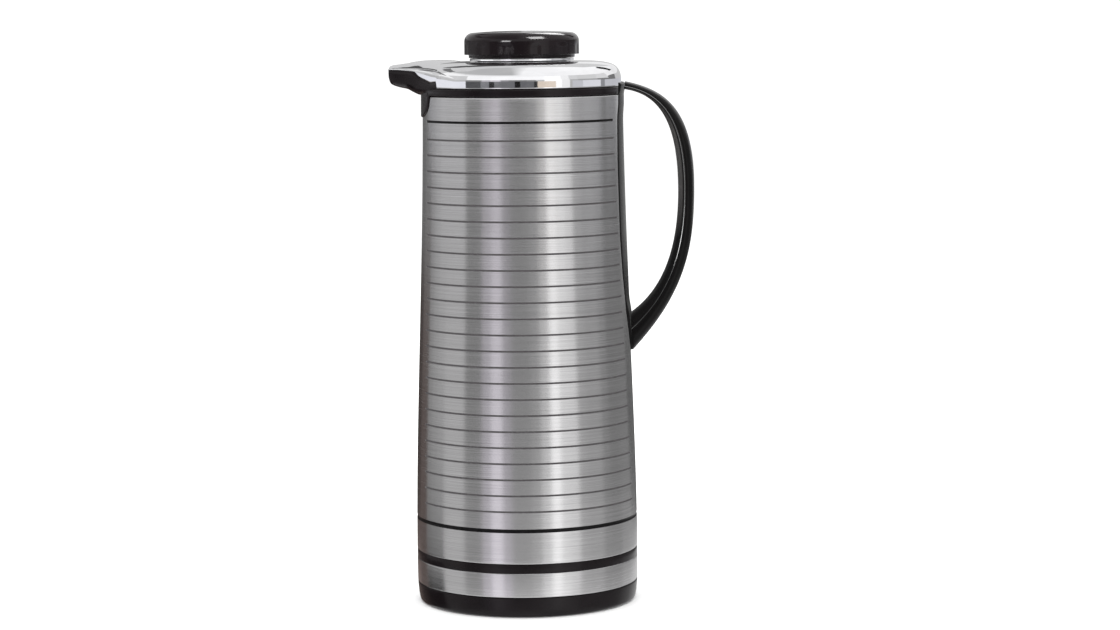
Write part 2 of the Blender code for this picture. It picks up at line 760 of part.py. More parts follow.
def collar_screws(parts, material):
    for index in range(3):
        x, y = on_circle(COLLAR_SCREW_CIRCLE, math.tau * index / 3)
        at = (x, y, 0.3163)
        screw(f"collar_screw_{index + 1}", at, (0, 0, -1), 0.0030, 0.0018, 0.0015, 0.0090, parts, material)


def stopper_plug(parts, cutters, material):
    """Hollow plug with the thread, open at the top and closed by the knob."""
    shoulder = 0.0274
    profile = (
        (0.0, 0.3044),
        (0.0216, 0.3044),
        (0.0216, 0.3380),
        (PLUG_FLANGE, 0.3380),
        (PLUG_FLANGE, LIP_BOTTOM),
        (shoulder, LIP_BOTTOM),
        (shoulder, 0.3340),
        (PLUG_RADIUS, 0.3340),
        (PLUG_RADIUS, 0.3040),
        (0.0196, 0.3040),
        (0.0196, 0.3022),
        (0.0, 0.3022),
    )
    obj = turned("stopper_plug", profile, NECK_STEPS, parts, material, closed=False)
    start_z = NECK_THREAD_Z - THREAD_LEAD / THREAD_STARTS / 2
    add(obj, *thread_ridges("plug_ridge", PLUG_THREAD_RADIUS, start_z, cutters))
    return obj


def stopper_core(parts, material):
    profile = ((0.0, 0.3374), (0.0212, 0.3374), (0.0212, 0.3048), (0.0, 0.3048))
    return turned("stopper_core", profile, INSIDE_STEPS, parts, material, closed=False)


def stopper_gasket(parts, material):
    profile = (
        (0.0199, 0.3037),
        (0.0240, 0.3037),
        (0.0242, 0.3026),
        (0.0236, 0.3014),
        (0.0212, 0.3014),
        (0.0199, 0.3024),
    )
    return turned("stopper_gasket", profile, INSIDE_STEPS, parts, material)


def stopper_ring(parts, material):
    """Bright ring between the cap and the knob."""
    profile = (
        (0.0278, 0.3360),
        (0.0316, 0.3360),
        (0.0320, 0.3356),
        (0.0320, 0.3349),
        (0.0316, 0.3345),
        (0.0278, 0.3345),
    )
    return turned("stopper_ring", profile, OUTSIDE_STEPS, parts, material)


def stopper_knob(parts, cutters, material):
    """Hollow knob with shallow grip flutes round its skirt."""
    shoulder_r = KNOB_RADIUS - KNOB_ROUND
    shoulder_z = KNOB_TOP - 0.0010 - KNOB_ROUND
    outside = [(0.0, KNOB_TOP), (0.0160, KNOB_TOP - 0.0002)]
    outside += arc((shoulder_r, shoulder_z), (KNOB_ROUND, KNOB_ROUND), 90, 0, 5)
    outside += [(KNOB_RADIUS, KNOB_BOTTOM), (LIP_RADIUS, KNOB_BOTTOM), (LIP_RADIUS, LIP_BOTTOM)]
    inside = [
        (PLUG_FLANGE + 0.0004, LIP_BOTTOM),
        (PLUG_FLANGE + 0.0004, 0.3392),
        (0.0328, 0.3400),
        (0.0328, shoulder_z),
        (0.0295, 0.3496),
        (0.0, 0.3504),
    ]
    obj = turned("stopper_knob", outside + inside, OUTSIDE_STEPS, parts, material, closed=False)
    centre = KNOB_RADIUS + FLUTE_RADIUS - FLUTE_DEPTH
    for index in range(KNOB_FLUTES):
        x, y = on_circle(centre, math.tau * (index + FLUTE_PHASE) / KNOB_FLUTES)
        low, high = (x, y, KNOB_BOTTOM - 0.001), (x, y, KNOB_TOP - KNOB_ROUND)
        cut(obj, rod(f"flute_{index}", FLUTE_RADIUS, low, high, SCREW_STEPS, cutters))
    return obj


def handle_point(curves, along):
    """Point of a two-piece Bezier outline; the parameter runs from 0 to 2."""
    piece = min(1, int(along))
    return bezier(curves[piece], along - piece)


def handle_half_width(along):
    place_along = along / 2.0 * (len(HANDLE_WIDTHS) - 1)
    index = min(len(HANDLE_WIDTHS) - 2, int(place_along))
    blend = place_along - index
    return HANDLE_WIDTHS[index] * (1.0 - blend) + HANDLE_WIDTHS[index + 1] * blend


def handle_section(along, outer_part):
    """Half of a rounded section: the cover's side away from the jug, or the frame's side towards it."""
    outer = handle_point(HANDLE_OUTER, along)
    inner = handle_point(HANDLE_INNER, along)
    middle = (outer + inner) / 2
    half = (outer - inner) / 2
    split = 2.0 * HANDLE_SPLIT - 1.0
    offset = GAP / 2 / half.length
    level = split + offset if outer_part else split - offset
    power = 2.0 / 2.6
    limit = math.acos(signed_power(level, 1.0 / power))
    sweep = (-limit, limit) if outer_part else (limit, math.tau - limit)
    points = []
    for index in range(9):
        angle = sweep[0] + (sweep[1] - sweep[0]) * index / 8
        across = signed_power(math.cos(angle), power)
        y = handle_half_width(along) * signed_power(math.sin(angle), power)
        spot = middle + half * across
        points.append((spot[0], y, spot[1]))
    return points


def handle_loft(name, outer_part, collection, material=None):
    stations = [2.0 * index / (HANDLE_STATIONS - 1) for index in range(HANDLE_STATIONS)]
    return lofted(name, [handle_section(along, outer_part) for along in stations], collection, material)


def strap_radius(z):
    """Radius of the strap's back at a height: clear of the shell, and of the collar above it."""
    if z > STRAP_STEP_Z:
        return COLLAR_RADIUS + GAP
    return shell_radius(z) + GAP


def strap(name, behind, front, margin, collection):
    """A strip that follows the shell, from a distance behind its back to a distance in front of it."""
    sections = []
    last = len(STRAP_HALF_ANGLES) - 1
    for index, half_angle in enumerate(STRAP_HALF_ANGLES):
        z = STRAP_BOTTOM + (STRAP_TOP - STRAP_BOTTOM) * index / last
        back = strap_radius(z) - behind
        edge_z = z + margin * ((index == last) - (index == 0))
        reach = math.radians(half_angle) + margin / CAP_RADIUS
        angles = [reach * (-1.0 + 2.0 * step / 6) for step in range(7)]
        outside = [(*on_circle(back + behind + front, angle), edge_z) for angle in angles]
        inside = [(*on_circle(back, angle), edge_z) for angle in reversed(angles)]
        sections.append(outside + inside)
    return lofted(name, sections, collection)


def handle_boss(name, z, reach, cutters):
    """Short boss on the back of the handle that goes through the shell."""
    end = shell_radius(z) + 0.0012
    return rod(name, BOSS_RADIUS, (end - reach, 0.0, z), (end, 0.0, z), 16, cutters)


def handle_frame(parts, cutters, material):
    """Back half of the handle, in one piece with the strap that lies along the shell."""
    obj = handle_loft("handle_frame", False, parts, material)
    add(obj, strap("strap", 0.0, STRAP_THICKNESS, 0.0, cutters))
    for name, z, depth in (("top", TOP_SCREW_Z, 0.0018), ("foot", FOOT_SCREW_Z, 0.0030)):
        add(obj, handle_boss(f"boss_{name}", z, depth, cutters))
        start = shell_radius(z) - 0.004
        end = shell_radius(z) + (0.0014 if name == "top" else 0.0045)
        cut(obj, rod(f"bore_{name}", 0.0018, (start, 0.0, z), (end, 0.0, z), SCREW_STEPS, cutters))
    cut(obj, turned("frame_clearance", frame_clearance_profile(), OUTSIDE_STEPS, cutters, closed=False))
    return obj


def frame_clearance_profile():
    """Everything inside this outline belongs to the collar and the cap."""
    radius = COLLAR_RADIUS + GAP
    return ((0.0, 0.3300), (radius, 0.3300), (radius, 0.3136), (0.0, 0.3136))


def handle_cover(parts, cutters, material):
    """Outer half of the handle, clipped over the frame."""
    obj = handle_loft("handle_cover", True, parts, material)
    cut(obj, strap("strap_clearance", 0.005, COVER_CLEARANCE, 0.002, cutters))
    return obj


def handle_fixings(parts, cutters, steel, zinc):
    """Plates and screws inside the shell that hold the handle on."""
    for name, z, end, length in (("top", TOP_SCREW_Z, 0.0600, 0.0036), ("bottom", FOOT_SCREW_Z, 0.0632, 0.0060)):
        start = end - 0.0016
        plate = block(
            f"handle_plate_{name}",
            (start, -0.0065, z - 0.0060),
            (end, 0.0065, z + 0.0060),
            parts,
            steel,
        )
        cut(plate, rod(f"plate_bore_{name}", 0.0019, (0.055, 0.0, z), (0.070, 0.0, z), SCREW_STEPS, cutters))
        at = (start - 0.0002, 0.0, z)
        screw(f"handle_screw_{name}", at, (1, 0, 0), 0.0033, 0.0017, 0.0015, length, parts, zinc)


def main():
    clear_scene()
    parts = new_collection("vacuum_jug", hidden=False)
    cutters = new_collection("cutters", hidden=True)
    material = {name: make_material(name) for name in MATERIALS}
    outer_shell(parts, cutters, material["brushed_steel"])
    trim_band(parts, material["black_plastic"])
    base_cap(parts, cutters, material["black_plastic"])
    base_ring(parts, cutters, material["grey_plastic"])
    base_screws(parts, material["zinc_steel"])
    base_pad(parts, material["rubber"])
    glass_liner(parts, material["silvered_glass"])
    liner_spacers(parts, material["foam"])
    liner_cushion(parts, material["rubber"])
    liner_support(parts, material["grey_plastic"])
    liner_collar(parts, material["foam"])
    neck_gasket(parts, material["silicone"])
    pour_neck(parts, cutters, material["black_plastic"])
    clamp_ring(parts, cutters, material["grey_plastic"])
    shoulder_collar(parts, cutters, material["black_plastic"])
    collar_screws(parts, material["zinc_steel"])
    chrome_cap(parts, cutters, material["chrome"])
    stopper_plug(parts, cutters, material["knob_plastic"])
    stopper_core(parts, material["foam"])
    stopper_gasket(parts, material["silicone"])
    stopper_ring(parts, material["chrome"])
    stopper_knob(parts, cutters, material["knob_plastic"])
    handle_frame(parts, cutters, material["handle_plastic"])
    handle_cover(parts, cutters, material["handle_plastic"])
    handle_fixings(parts, cutters, material["zinc_steel"], material["zinc_steel"])
    for cutter in cutters.objects:
        cutter.display_type = "WIRE"
        cutter.hide_render = True


main()
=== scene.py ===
"""Visible pieces, finishes, lights and camera for the vacuum jug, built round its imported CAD.

Metres, +Z up.  The spout points to -X and the handle to +X.
"""

import json
import math

import bpy
import numpy as np
from mathutils import Matrix, Vector

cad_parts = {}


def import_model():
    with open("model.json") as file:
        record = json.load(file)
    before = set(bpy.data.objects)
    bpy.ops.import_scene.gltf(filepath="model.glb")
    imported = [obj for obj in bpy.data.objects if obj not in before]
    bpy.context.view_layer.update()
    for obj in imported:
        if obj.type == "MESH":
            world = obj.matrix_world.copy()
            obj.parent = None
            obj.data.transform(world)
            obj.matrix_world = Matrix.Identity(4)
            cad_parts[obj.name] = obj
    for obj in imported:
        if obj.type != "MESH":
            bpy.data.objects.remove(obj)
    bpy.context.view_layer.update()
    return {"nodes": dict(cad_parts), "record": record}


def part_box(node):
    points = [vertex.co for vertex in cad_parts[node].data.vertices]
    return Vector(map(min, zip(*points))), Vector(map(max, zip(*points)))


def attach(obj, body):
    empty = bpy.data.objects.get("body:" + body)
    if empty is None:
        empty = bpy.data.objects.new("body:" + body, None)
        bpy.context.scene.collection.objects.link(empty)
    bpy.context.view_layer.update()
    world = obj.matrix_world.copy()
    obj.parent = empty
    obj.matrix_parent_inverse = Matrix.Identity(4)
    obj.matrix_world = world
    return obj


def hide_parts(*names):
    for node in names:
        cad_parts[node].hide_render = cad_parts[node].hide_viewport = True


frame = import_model()

# Facets round a turned piece.
ROUND = 256
SMALL_ROUND = 96

# Outline of the shell (radius, height), as one Bezier from shoulder to base.
SHELL_CURVE = ((0.0614, 0.3135), (0.0622, 0.2003), (0.0697, 0.1007), (0.0686, 0.0126))
SHELL_WALL = 0.0008
FLANGE_RADIUS = 0.0510
FOOT_LIP_RADIUS = 0.0660
BAND_GROOVE = 0.0009
# How far shell and grip keep inside the CAD model's outline.
FIT = 0.00001
EDGE_ROUND = 0.0006

# Marks round the shell.
THIN_LINES = 24
THIN_LINE_LOW = 0.0649
THIN_LINE_PITCH = 0.00968
THIN_LINE_WIDTH = 0.00112
THIN_LINE_DEPTH = 0.00012
# How close beside a line the plain steel starts again.
LINE_EDGE = 0.00004
LOW_LINE = (0.0533, 0.0023)
HIGH_LINE = (0.2984, 0.0015)
THICK_LINE_DEPTH = 0.00025
# Plain strips under the spout and beside the handle: half angles in degrees at the lowest and highest line.
SPOUT_STRIP = (28.6, 22.0)
HANDLE_STRIP = (14.5, 23.6)

# Chrome cap (radius, height).
CAP_WALL = 0.0012
CAP_FACETS = 720
CAP_OUTLINE = (
    (0.0314, 0.3336), (0.0317, 0.3339), (0.0323, 0.3340), (0.0365, 0.3341), (0.0438, 0.3340),
    (0.0488, 0.3336), (0.0530, 0.3328), (0.0565, 0.3315), (0.0590, 0.3293), (0.0604, 0.3266),
    (0.0610, 0.3238),
)
# Spout from the dome to its tip (x, half width, crown, edge, underside).
SPOUT_STATIONS = (
    (-0.0340, 0.0500, 0.3336, 0.3262, 0.3160),
    (-0.0400, 0.0452, 0.3347, 0.3274, 0.3150),
    (-0.0450, 0.0402, 0.3351, 0.3282, 0.3142),
    (-0.0500, 0.0345, 0.3352, 0.3288, 0.3140),
    (-0.0540, 0.0297, 0.3352, 0.3292, 0.3140),
    (-0.0580, 0.0249, 0.3351, 0.3296, 0.3140),
    (-0.0620, 0.0207, 0.3349, 0.3299, 0.3141),
    (-0.0665, 0.0171, 0.3343, 0.3302, 0.3158),
    (-0.0700, 0.0148, 0.3336, 0.3303, 0.3176),
    (-0.0750, 0.0121, 0.3329, 0.3304, 0.3187),
    (-0.0790, 0.0101, 0.3324, 0.3303, 0.3200),
    (-0.0808, 0.0091, 0.3319, 0.3303, 0.3212),
    (-0.0816, 0.0085, 0.3314, 0.3303, 0.3238),
)
# Lower edge of the chrome on the spout (x, height).
SPOUT_SPLIT = (
    (-0.0490, 0.3183), (-0.0494, 0.3185), (-0.0497, 0.3226), (-0.0516, 0.3224),
    (-0.0536, 0.3221), (-0.0553, 0.3227), (-0.0580, 0.3239), (-0.0600, 0.3248),
    (-0.0621, 0.3262), (-0.0641, 0.3284), (-0.0661, 0.3295), (-0.0706, 0.3300),
    (-0.0780, 0.3301), (-0.0816, 0.3300),
)
# Where the spout's roof leaves the dome, over what length and with how soft a crease.
ROOF_START = -0.0300
ROOF_FADE = 0.0060
ROOF_BLEND = 0.0009
# How far in from its edge the roof rounds over, at distances from the axis.
ROOF_RIM = ((0.0300, 0.0030), (0.0520, 0.0030), (0.0660, 0.0012), (0.0816, 0.0004))
TIP_ROUND = 0.0018
SPOUT_WALL = 0.0017
# Channel: half width inside and outside, its floor, and its inner end (x, top) from the neck to the spout.
TROUGH_HALF_WIDTH = 0.0128
TROUGH_OUTSIDE = 0.0147
TROUGH_FLOOR = 0.3186
TROUGH_END = ((-0.0300, 0.3282), (-0.0450, 0.3276), (-0.0520, 0.3262), (-0.0592, 0.3234))
# Shield under the spout (height, half width).
SHIELD_STATIONS = (
    (0.3004, 0.0040), (0.3008, 0.0130), (0.3014, 0.0180), (0.3026, 0.0216), (0.3050, 0.0256),
    (0.3084, 0.0280), (0.3137, 0.0292), (0.3160, 0.0294),
)
SHIELD_PROUD = 0.0007

# Gap between pieces that meet.
GAP = 0.0003

# Stopper.
KNOB_ROUND = 0.0055
KNOB_FOOT = 0.0020
KNOB_WALL_INSIDE = 0.0328
KNOB_FLUTES = 12
FLUTE_DEPTH = 0.0005
FLUTE_PHASE = 0.63
FLUTE_HALF_WIDTH = 0.0030
FLUTE_RUN_OUT = 0.0030
THREAD_STARTS = 3
THREAD_LEAD = 0.0120
THREAD_TURNS = 0.58
THREAD_ROUND = 0.0010

# Handle outlines (x, z) from the shoulder to the foot.
HANDLE_OUTER = (
    ((0.0625, 0.3214), (0.0861, 0.3165), (0.1055, 0.3060), (0.1055, 0.2570)),
    ((0.1055, 0.2570), (0.1055, 0.2188), (0.0998, 0.1908), (0.0670, 0.1555)),
)
HANDLE_INNER = (
    ((0.0625, 0.3164), (0.0849, 0.3135), (0.0955, 0.2951), (0.0955, 0.2550)),
    ((0.0955, 0.2550), (0.0955, 0.2242), (0.0886, 0.1949), (0.0660, 0.1790)),
)
HANDLE_WIDTHS = (0.0100, 0.0112, 0.0125, 0.0122, 0.0100)
HANDLE_SPLIT = 0.42
HANDLE_GAP = 0.0003
HANDLE_EASE = 0.0006
# Power of the grip's rounded section: 2 is an ellipse, more is squarer.
HANDLE_SQUARENESS = 2.6
# Where the two halves start, along curves that run from 0 at the shoulder to 2 at the foot.
FRAME_START = 0.006
COVER_START = 0.014
# Half the angle that the strap spans round the shell, in degrees, evenly spaced from foot to top.
STRAP_HALF_ANGLES = (4.0, 12.0, 16.0, 18.0, 18.0, 18.0, 17.0, 16.0)
# Where the grip's inner face gets a painted grey sheen that stands in for a reflection, and how softly that
# begins and ends.
PAINTED_SHEEN_HEIGHTS = (0.225, 0.320)
PAINTED_SHEEN_FADE = 0.03
# The strap's height above the shell: full where the grip joins it, thin in between (height, proud by).
STRAP_PROUD = ((0.1556, 0.0016), (0.1790, 0.0016), (0.1880, 0.0005), (0.3150, 0.0005), (0.3185, 0.0016))
STRAP_GAP = 0.0001
# Above this height the strap steps out to lie over the collar, at this radius.
STRAP_STEP_Z = 0.3000
STRAP_TOP_RADIUS = 0.0622
STRAP_END_ROUND = 0.0012

# Camera: distance from the jug's axis, height, turn, tilt, roll and focal length.
CAMERA_DISTANCE = 1.80307
CAMERA_HEIGHT = 0.3611
CAMERA_AZIMUTH = math.radians(4.0)
CAMERA_TURN = 0.0121
CAMERA_TILT = 0.1018
CAMERA_ROLL = -0.0105
CAMERA_LENS = 93.9


# Shapes


def bezier(points, t):
    a, b, c, d = (np.array(point) for point in points)
    s = 1.0 - t
    return s**3 * a + 3 * s * s * t * b + 3 * s * t * t * c + t**3 * d


SHELL_TABLE = np.array([bezier(SHELL_CURVE, step / 400) for step in range(400, -1, -1)])


def shell_radius(z):
    """Radius of the shell's outside at a height."""
    return float(np.interp(z, SHELL_TABLE[:, 1], SHELL_TABLE[:, 0])) - FIT


def smooth_table(stations, x, column):
    """Monotone cubic reading of one column of a station table whose first column falls."""
    keys = np.array([station[0] for station in stations])[::-1]
    values = np.array([station[column] for station in stations])[::-1]
    steps = np.diff(keys)
    slopes = np.diff(values) / steps
    tangents = np.empty(len(keys))
    tangents[0], tangents[-1] = slopes[0], slopes[-1]
    for index in range(1, len(keys) - 1):
        before, after = slopes[index - 1], slopes[index]
        tangents[index] = 0.0 if before * after <= 0 else 2 * before * after / (before + after)
    x = min(max(x, keys[0]), keys[-1])
    index = min(int(np.searchsorted(keys, x, side="right")) - 1, len(keys) - 2)
    t = (x - keys[index]) / steps[index]
    level = (1 + 2 * t) * (1 - t) ** 2 * values[index] + t * t * (3 - 2 * t) * values[index + 1]
    bend = t * (1 - t) ** 2 * tangents[index] + t * t * (t - 1) * tangents[index + 1]
    return level + steps[index] * bend


def signed_power(value, power):
    return math.copysign(abs(value) ** power, value)


def soften(points, radius, closed=True, steps=4, least_turn=25.0):
    """Rounds the corners of an outline that turn by more than an angle in degrees."""
    points = [np.array(point, float) for point in points]
    count = len(points)
    result = []
    for index, point in enumerate(points):
        if not closed and index in (0, count - 1):
            result.append(point)
            continue
        before = points[index - 1] - point
        after = points[(index + 1) % count] - point
        length_before, length_after = np.linalg.norm(before), np.linalg.norm(after)
        cosine = -before.dot(after) / (length_before * length_after)
        if math.degrees(math.acos(max(-1.0, min(1.0, cosine)))) < least_turn:
            result.append(point)
            continue
        start = point + before * min(radius, 0.45 * length_before) / length_before
        end = point + after * min(radius, 0.45 * length_after) / length_after
        for step in range(steps + 1):
            t = step / steps
            result.append((1 - t) ** 2 * start + 2 * t * (1 - t) * point + t * t * end)
    return result


def arc(centre, radii, start, end, count):
    """Points along part of an ellipse, ends included; angles in degrees."""
    angles = np.radians(np.linspace(start, end, count))
    return [(centre[0] + radii[0] * math.cos(a), centre[1] + radii[1] * math.sin(a)) for a in angles]


def new_piece(name, vertices, faces, face_slots=None):
    mesh = bpy.data.meshes.new(name)
    mesh.from_pydata([tuple(map(float, vertex)) for vertex in vertices], [], faces)
    mesh.shade_smooth()
    if face_slots is not None:
        mesh.polygons.foreach_set("material_index", face_slots)
    mesh.update()
    obj = bpy.data.objects.new(name, mesh)
    bpy.context.scene.collection.objects.link(obj)
    return obj


def grid_faces(rows, columns, wrap_rows, wrap_columns, first=0):
    faces = []
    for row in range(rows if wrap_rows else rows - 1):
        after_row = (row + 1) % rows
        for column in range(columns if wrap_columns else columns - 1):
            after = (column + 1) % columns
            faces.append((
                first + row * columns + column,
                first + after_row * columns + column,
                first + after_row * columns + after,
                first + row * columns + after,
            ))
    return faces


def lathe(name, profile, steps=ROUND, closed=True):
    """A solid of revolution whose profile (radius, height) runs down the outer side."""
    profile = [(max(radius, 0.0), height) for radius, height in profile]
    angles = np.linspace(0.0, math.tau, steps, endpoint=False)
    vertices, faces, rings = [], [], []
    for radius, height in profile:
        if radius < 1e-7:
            rings.append([len(vertices)] * steps)
            vertices.append((0.0, 0.0, height))
        else:
            rings.append(list(range(len(vertices), len(vertices) + steps)))
            vertices += [(radius * math.cos(a), radius * math.sin(a), height) for a in angles]
    pairs = list(zip(rings, rings[1:]))
    if closed:
        pairs.append((rings[-1], rings[0]))
    for above, below in pairs:
        for index in range(steps):
            after = (index + 1) % steps
            corners = (above[index], below[index], below[after], above[after])
            unique = list(dict.fromkeys(corners))
            if len(unique) > 2:
                faces.append(unique)
    return new_piece(name, vertices, faces)


def loft(name, sections):
    """A closed body through sections with equal point counts, capped at both ends."""
    columns = len(sections[0])
    vertices = [point for section in sections for point in section]
    faces = grid_faces(len(sections), columns, False, True)
    faces.append(list(range(columns)))
    faces.append(list(range(len(vertices) - 1, len(vertices) - columns - 1, -1)))
    obj = new_piece(name, vertices, faces)
    face_outwards(obj)
    return obj


def face_outwards(obj):
    """Turns a closed mesh the right way out, judged by its signed volume."""
    mesh = obj.data
    volume = 0.0
    for polygon in mesh.polygons:
        corners = [mesh.vertices[index].co for index in polygon.vertices]
        for second, third in zip(corners[1:], corners[2:]):
            volume += corners[0].dot(second.cross(third))
    if volume < 0:
        mesh.flip_normals()


def join(name, *objs):
    """One object from several, keeping their shapes as they are."""
    vertices, faces = [], []
    for obj in objs:
        first = len(vertices)
        vertices += [obj.matrix_world @ vertex.co for vertex in obj.data.vertices]
        faces += [[first + index for index in polygon.vertices] for polygon in obj.data.polygons]
        bpy.data.objects.remove(obj, do_unlink=True)
    return new_piece(name, vertices, faces)


def settle(obj, body, node, slot, materials, *looks):
    """Parents a piece to its body and hides the CAD node that it replaces; it wears the slot's finish unless
    others are named.
    """
    for look in looks or (slot,):
        obj.data.materials.append(materials[look])
    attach(obj, body)
    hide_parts(node)


# Materials


def add_node(tree, kind, inputs, **settings):
    """A new shader node with its settings, and its inputs as values or as other nodes' sockets."""
    made = tree.nodes.new(kind)
    for name, value in settings.items():
        setattr(made, name, value)
    for name, value in inputs.items():
        if isinstance(value, bpy.types.NodeSocket):
            tree.links.new(value, made.inputs[name])
        else:
            made.inputs[name].default_value = value
    return made


class Shader:
    """A node material under construction."""

    def __init__(self, name):
        self.material = bpy.data.materials.new(name)
        self.material.use_nodes = True
        self.tree = self.material.node_tree
        self.surface = self.tree.nodes["Principled BSDF"]
        self.surface.inputs["Base Color"].default_value = (0.5, 0.5, 0.5, 1.0)
        self.place = self.add("ShaderNodeTexCoord").outputs["Object"]

    def add(self, kind, inputs=None, **settings):
        return add_node(self.tree, kind, inputs or {}, **settings)

    def set(self, **values):
        for name, value in values.items():
            self.surface.inputs[name.replace("_", " ")].default_value = value
        return self

    def feed(self, name, socket):
        self.tree.links.new(socket, self.surface.inputs[name])
        return self

    def noise(self, scale, detail=3.0, roughness=0.5, stretch=(1, 1, 1), distortion=0.0):
        """Noise from 0.3 to 0.7 or so, as a socket, in cycles per metre."""
        mapping = self.add("ShaderNodeMapping", {"Vector": self.place, "Scale": stretch})
        look = {"Scale": scale, "Detail": detail, "Roughness": roughness, "Distortion": distortion}
        texture = self.add("ShaderNodeTexNoise", {"Vector": mapping.outputs["Vector"], **look})
        return texture.outputs["Fac"]

    def spread(self, socket, low, high, from_low=0.3, from_high=0.7):
        """A socket moved to a new range."""
        limits = {"From Min": from_low, "From Max": from_high, "To Min": low, "To Max": high}
        return self.add("ShaderNodeMapRange", {"Value": socket, **limits}).outputs["Result"]

    def combine(self, operation, first, second):
        """Two sockets added or multiplied."""
        return self.add("ShaderNodeMath", {0: first, 1: second}, operation=operation).outputs["Value"]

    def mix(self, factor, first, second):
        """A colour between two others, each a colour or a socket, by a factor socket."""
        first, second = ((*end, 1.0) if isinstance(end, tuple) else end for end in (first, second))
        inputs = {"Factor": factor, "A": first, "B": second}
        return self.add("ShaderNodeMix", inputs, data_type="RGBA").outputs["Result"]

    def inner_face(self, low, high):
        """Mask of the painted sheen: 1 on faces that look towards the jug's axis from its +X side, between
        two heights.
        """
        facing = self.add("ShaderNodeTexCoord").outputs["Normal"]
        normal = self.add("ShaderNodeSeparateXYZ", {"Vector": facing})
        place = self.add("ShaderNodeSeparateXYZ", {"Vector": self.place})
        inward = self.spread(normal.outputs["X"], 1.0, 0.0, -0.7, -0.3)
        above = self.spread(place.outputs["Z"], 0.0, 1.0, low, low + PAINTED_SHEEN_FADE)
        below = self.spread(place.outputs["Z"], 1.0, 0.0, high - PAINTED_SHEEN_FADE, high)
        return self.combine("MULTIPLY", inward, self.combine("MULTIPLY", above, below))

    def colour(self, socket, low, high):
        """Base colour that runs from low to high with a noise."""
        return self.feed("Base Color", self.mix(self.spread(socket, 0.0, 1.0), low, high))

    def roughness(self, socket, low, high):
        """Roughness that runs from low to high with a noise."""
        return self.feed("Roughness", self.spread(socket, low, high))

    def two_roughnesses(self, broad, broad_range, fine, fine_range):
        """Roughness that runs with a broad noise, with a fine one added."""
        total = self.combine("ADD", self.spread(broad, *broad_range), self.spread(fine, *fine_range))
        return self.feed("Roughness", total)

    def bump(self, height, distance, strength):
        """Relief of a height in metres."""
        inputs = {"Height": height, "Distance": distance, "Strength": strength}
        return self.feed("Normal", self.add("ShaderNodeBump", inputs).outputs["Normal"])


def brushed_steel():
    """Steel brushed round the jug: grain in rings, a sheen spread up and down, faint smears of handling."""
    shader = Shader("brushed_steel").set(Metallic=1.0, Anisotropic=0.80, Anisotropic_Rotation=0.25)
    grain = shader.noise(1.0, 4.0, 0.65, stretch=(14, 14, 5200))
    hairs = shader.noise(1.0, 3.0, 0.6, stretch=(60, 60, 11000))
    smears = shader.noise(26.0, 4.0, 0.55, distortion=0.4)
    shader.colour(grain, (0.50, 0.495, 0.50), (0.68, 0.675, 0.68))
    shader.two_roughnesses(grain, (0.19, 0.26), smears, (-0.015, 0.025))
    shader.bump(shader.combine("ADD", grain, hairs), 0.000012, 0.5)
    tangent = shader.add("ShaderNodeTangent", direction_type="RADIAL", axis="Z")
    shader.feed("Tangent", tangent.outputs["Tangent"])
    return shader.material


def dark_line(name, low, high, rough, sheen, scale, strength):
    """Painted shade in the fine grooves, standing in for their dark reflection; black enamel in the two thick
    lines.
    """
    shader = Shader(name).set(Specular_IOR_Level=sheen)
    fleck = shader.noise(scale)
    return shader.colour(fleck, low, high).roughness(fleck, *rough).bump(fleck, 0.00001, strength).material


def chrome(name, waviness):
    """Bright plating with the slight waviness of the moulding under it."""
    shader = Shader(name).set(Metallic=1.0)
    waves = shader.noise(45.0, 2.0)
    wipe = shader.noise(30.0, 5.0, 0.6, stretch=(1, 1, 3), distortion=0.6)
    shader.colour(wipe, (0.80, 0.80, 0.82), (0.90, 0.90, 0.91))
    return shader.roughness(wipe, 0.03, 0.075).bump(waves, waviness, 0.35).material


def moulded_black(name, low, high, rough, sheen, grain_scale, grain_depth, painted_sheen):
    """Black moulded plastic: uneven gloss and a fine grain, with a painted grey sheen on the grip's inner
    face standing in for a reflection.
    """
    shader = Shader(name).set(IOR=1.5, Specular_IOR_Level=sheen)
    tone = shader.noise(60.0, 3.0)
    rub = shader.noise(35.0, 6.0, 0.65, distortion=0.8)
    grain = shader.noise(grain_scale, 2.0)
    if painted_sheen:
        black = shader.mix(shader.spread(tone, 0.0, 1.0), low, high)
        # Grey painted onto the inner face in place of a reflection: a painted sheen.
        sheen_grey = shader.mix(rub, (0.050, 0.048, 0.048), (0.095, 0.092, 0.090))
        shader.feed("Base Color", shader.mix(shader.inner_face(*PAINTED_SHEEN_HEIGHTS), black, sheen_grey))
    else:
        shader.colour(tone, low, high)
    shader.two_roughnesses(rub, rough, grain, (-0.02, 0.02))
    return shader.bump(grain, grain_depth, 0.5).material


def dull_metal():
    """Zinc plating, slightly mottled."""
    shader = Shader("zinc_steel").set(Metallic=1.0)
    mottle = shader.noise(320.0, 5.0, 0.6)
    shader.colour(mottle, (0.42, 0.43, 0.42), (0.58, 0.58, 0.55))
    return shader.roughness(mottle, 0.32, 0.50).bump(mottle, 0.00002, 0.4).material


def silvered_glass():
    """Mirror silvering seen through glass, with faint streaks."""
    shader = Shader("silvered_glass").set(Metallic=1.0)
    streaks = shader.noise(22.0, 4.0, 0.6, stretch=(1, 1, 0.3), distortion=0.5)
    shader.colour(streaks, (0.66, 0.69, 0.70), (0.80, 0.82, 0.83))
    return shader.roughness(streaks, 0.03, 0.10).bump(streaks, 0.0001, 0.2).material


def soft_plain(name, low, high, rough, scale, depth):
    """Rubber, silicone, foam or plain moulded plastic: a mottled colour over a fine grain."""
    shader = Shader(name)
    mottle = shader.noise(scale, 5.0, 0.6)
    grain = shader.noise(scale * 6, 2.0)
    shader.colour(mottle, low, high)
    return shader.roughness(grain, *rough).bump(grain, depth, 0.6).material


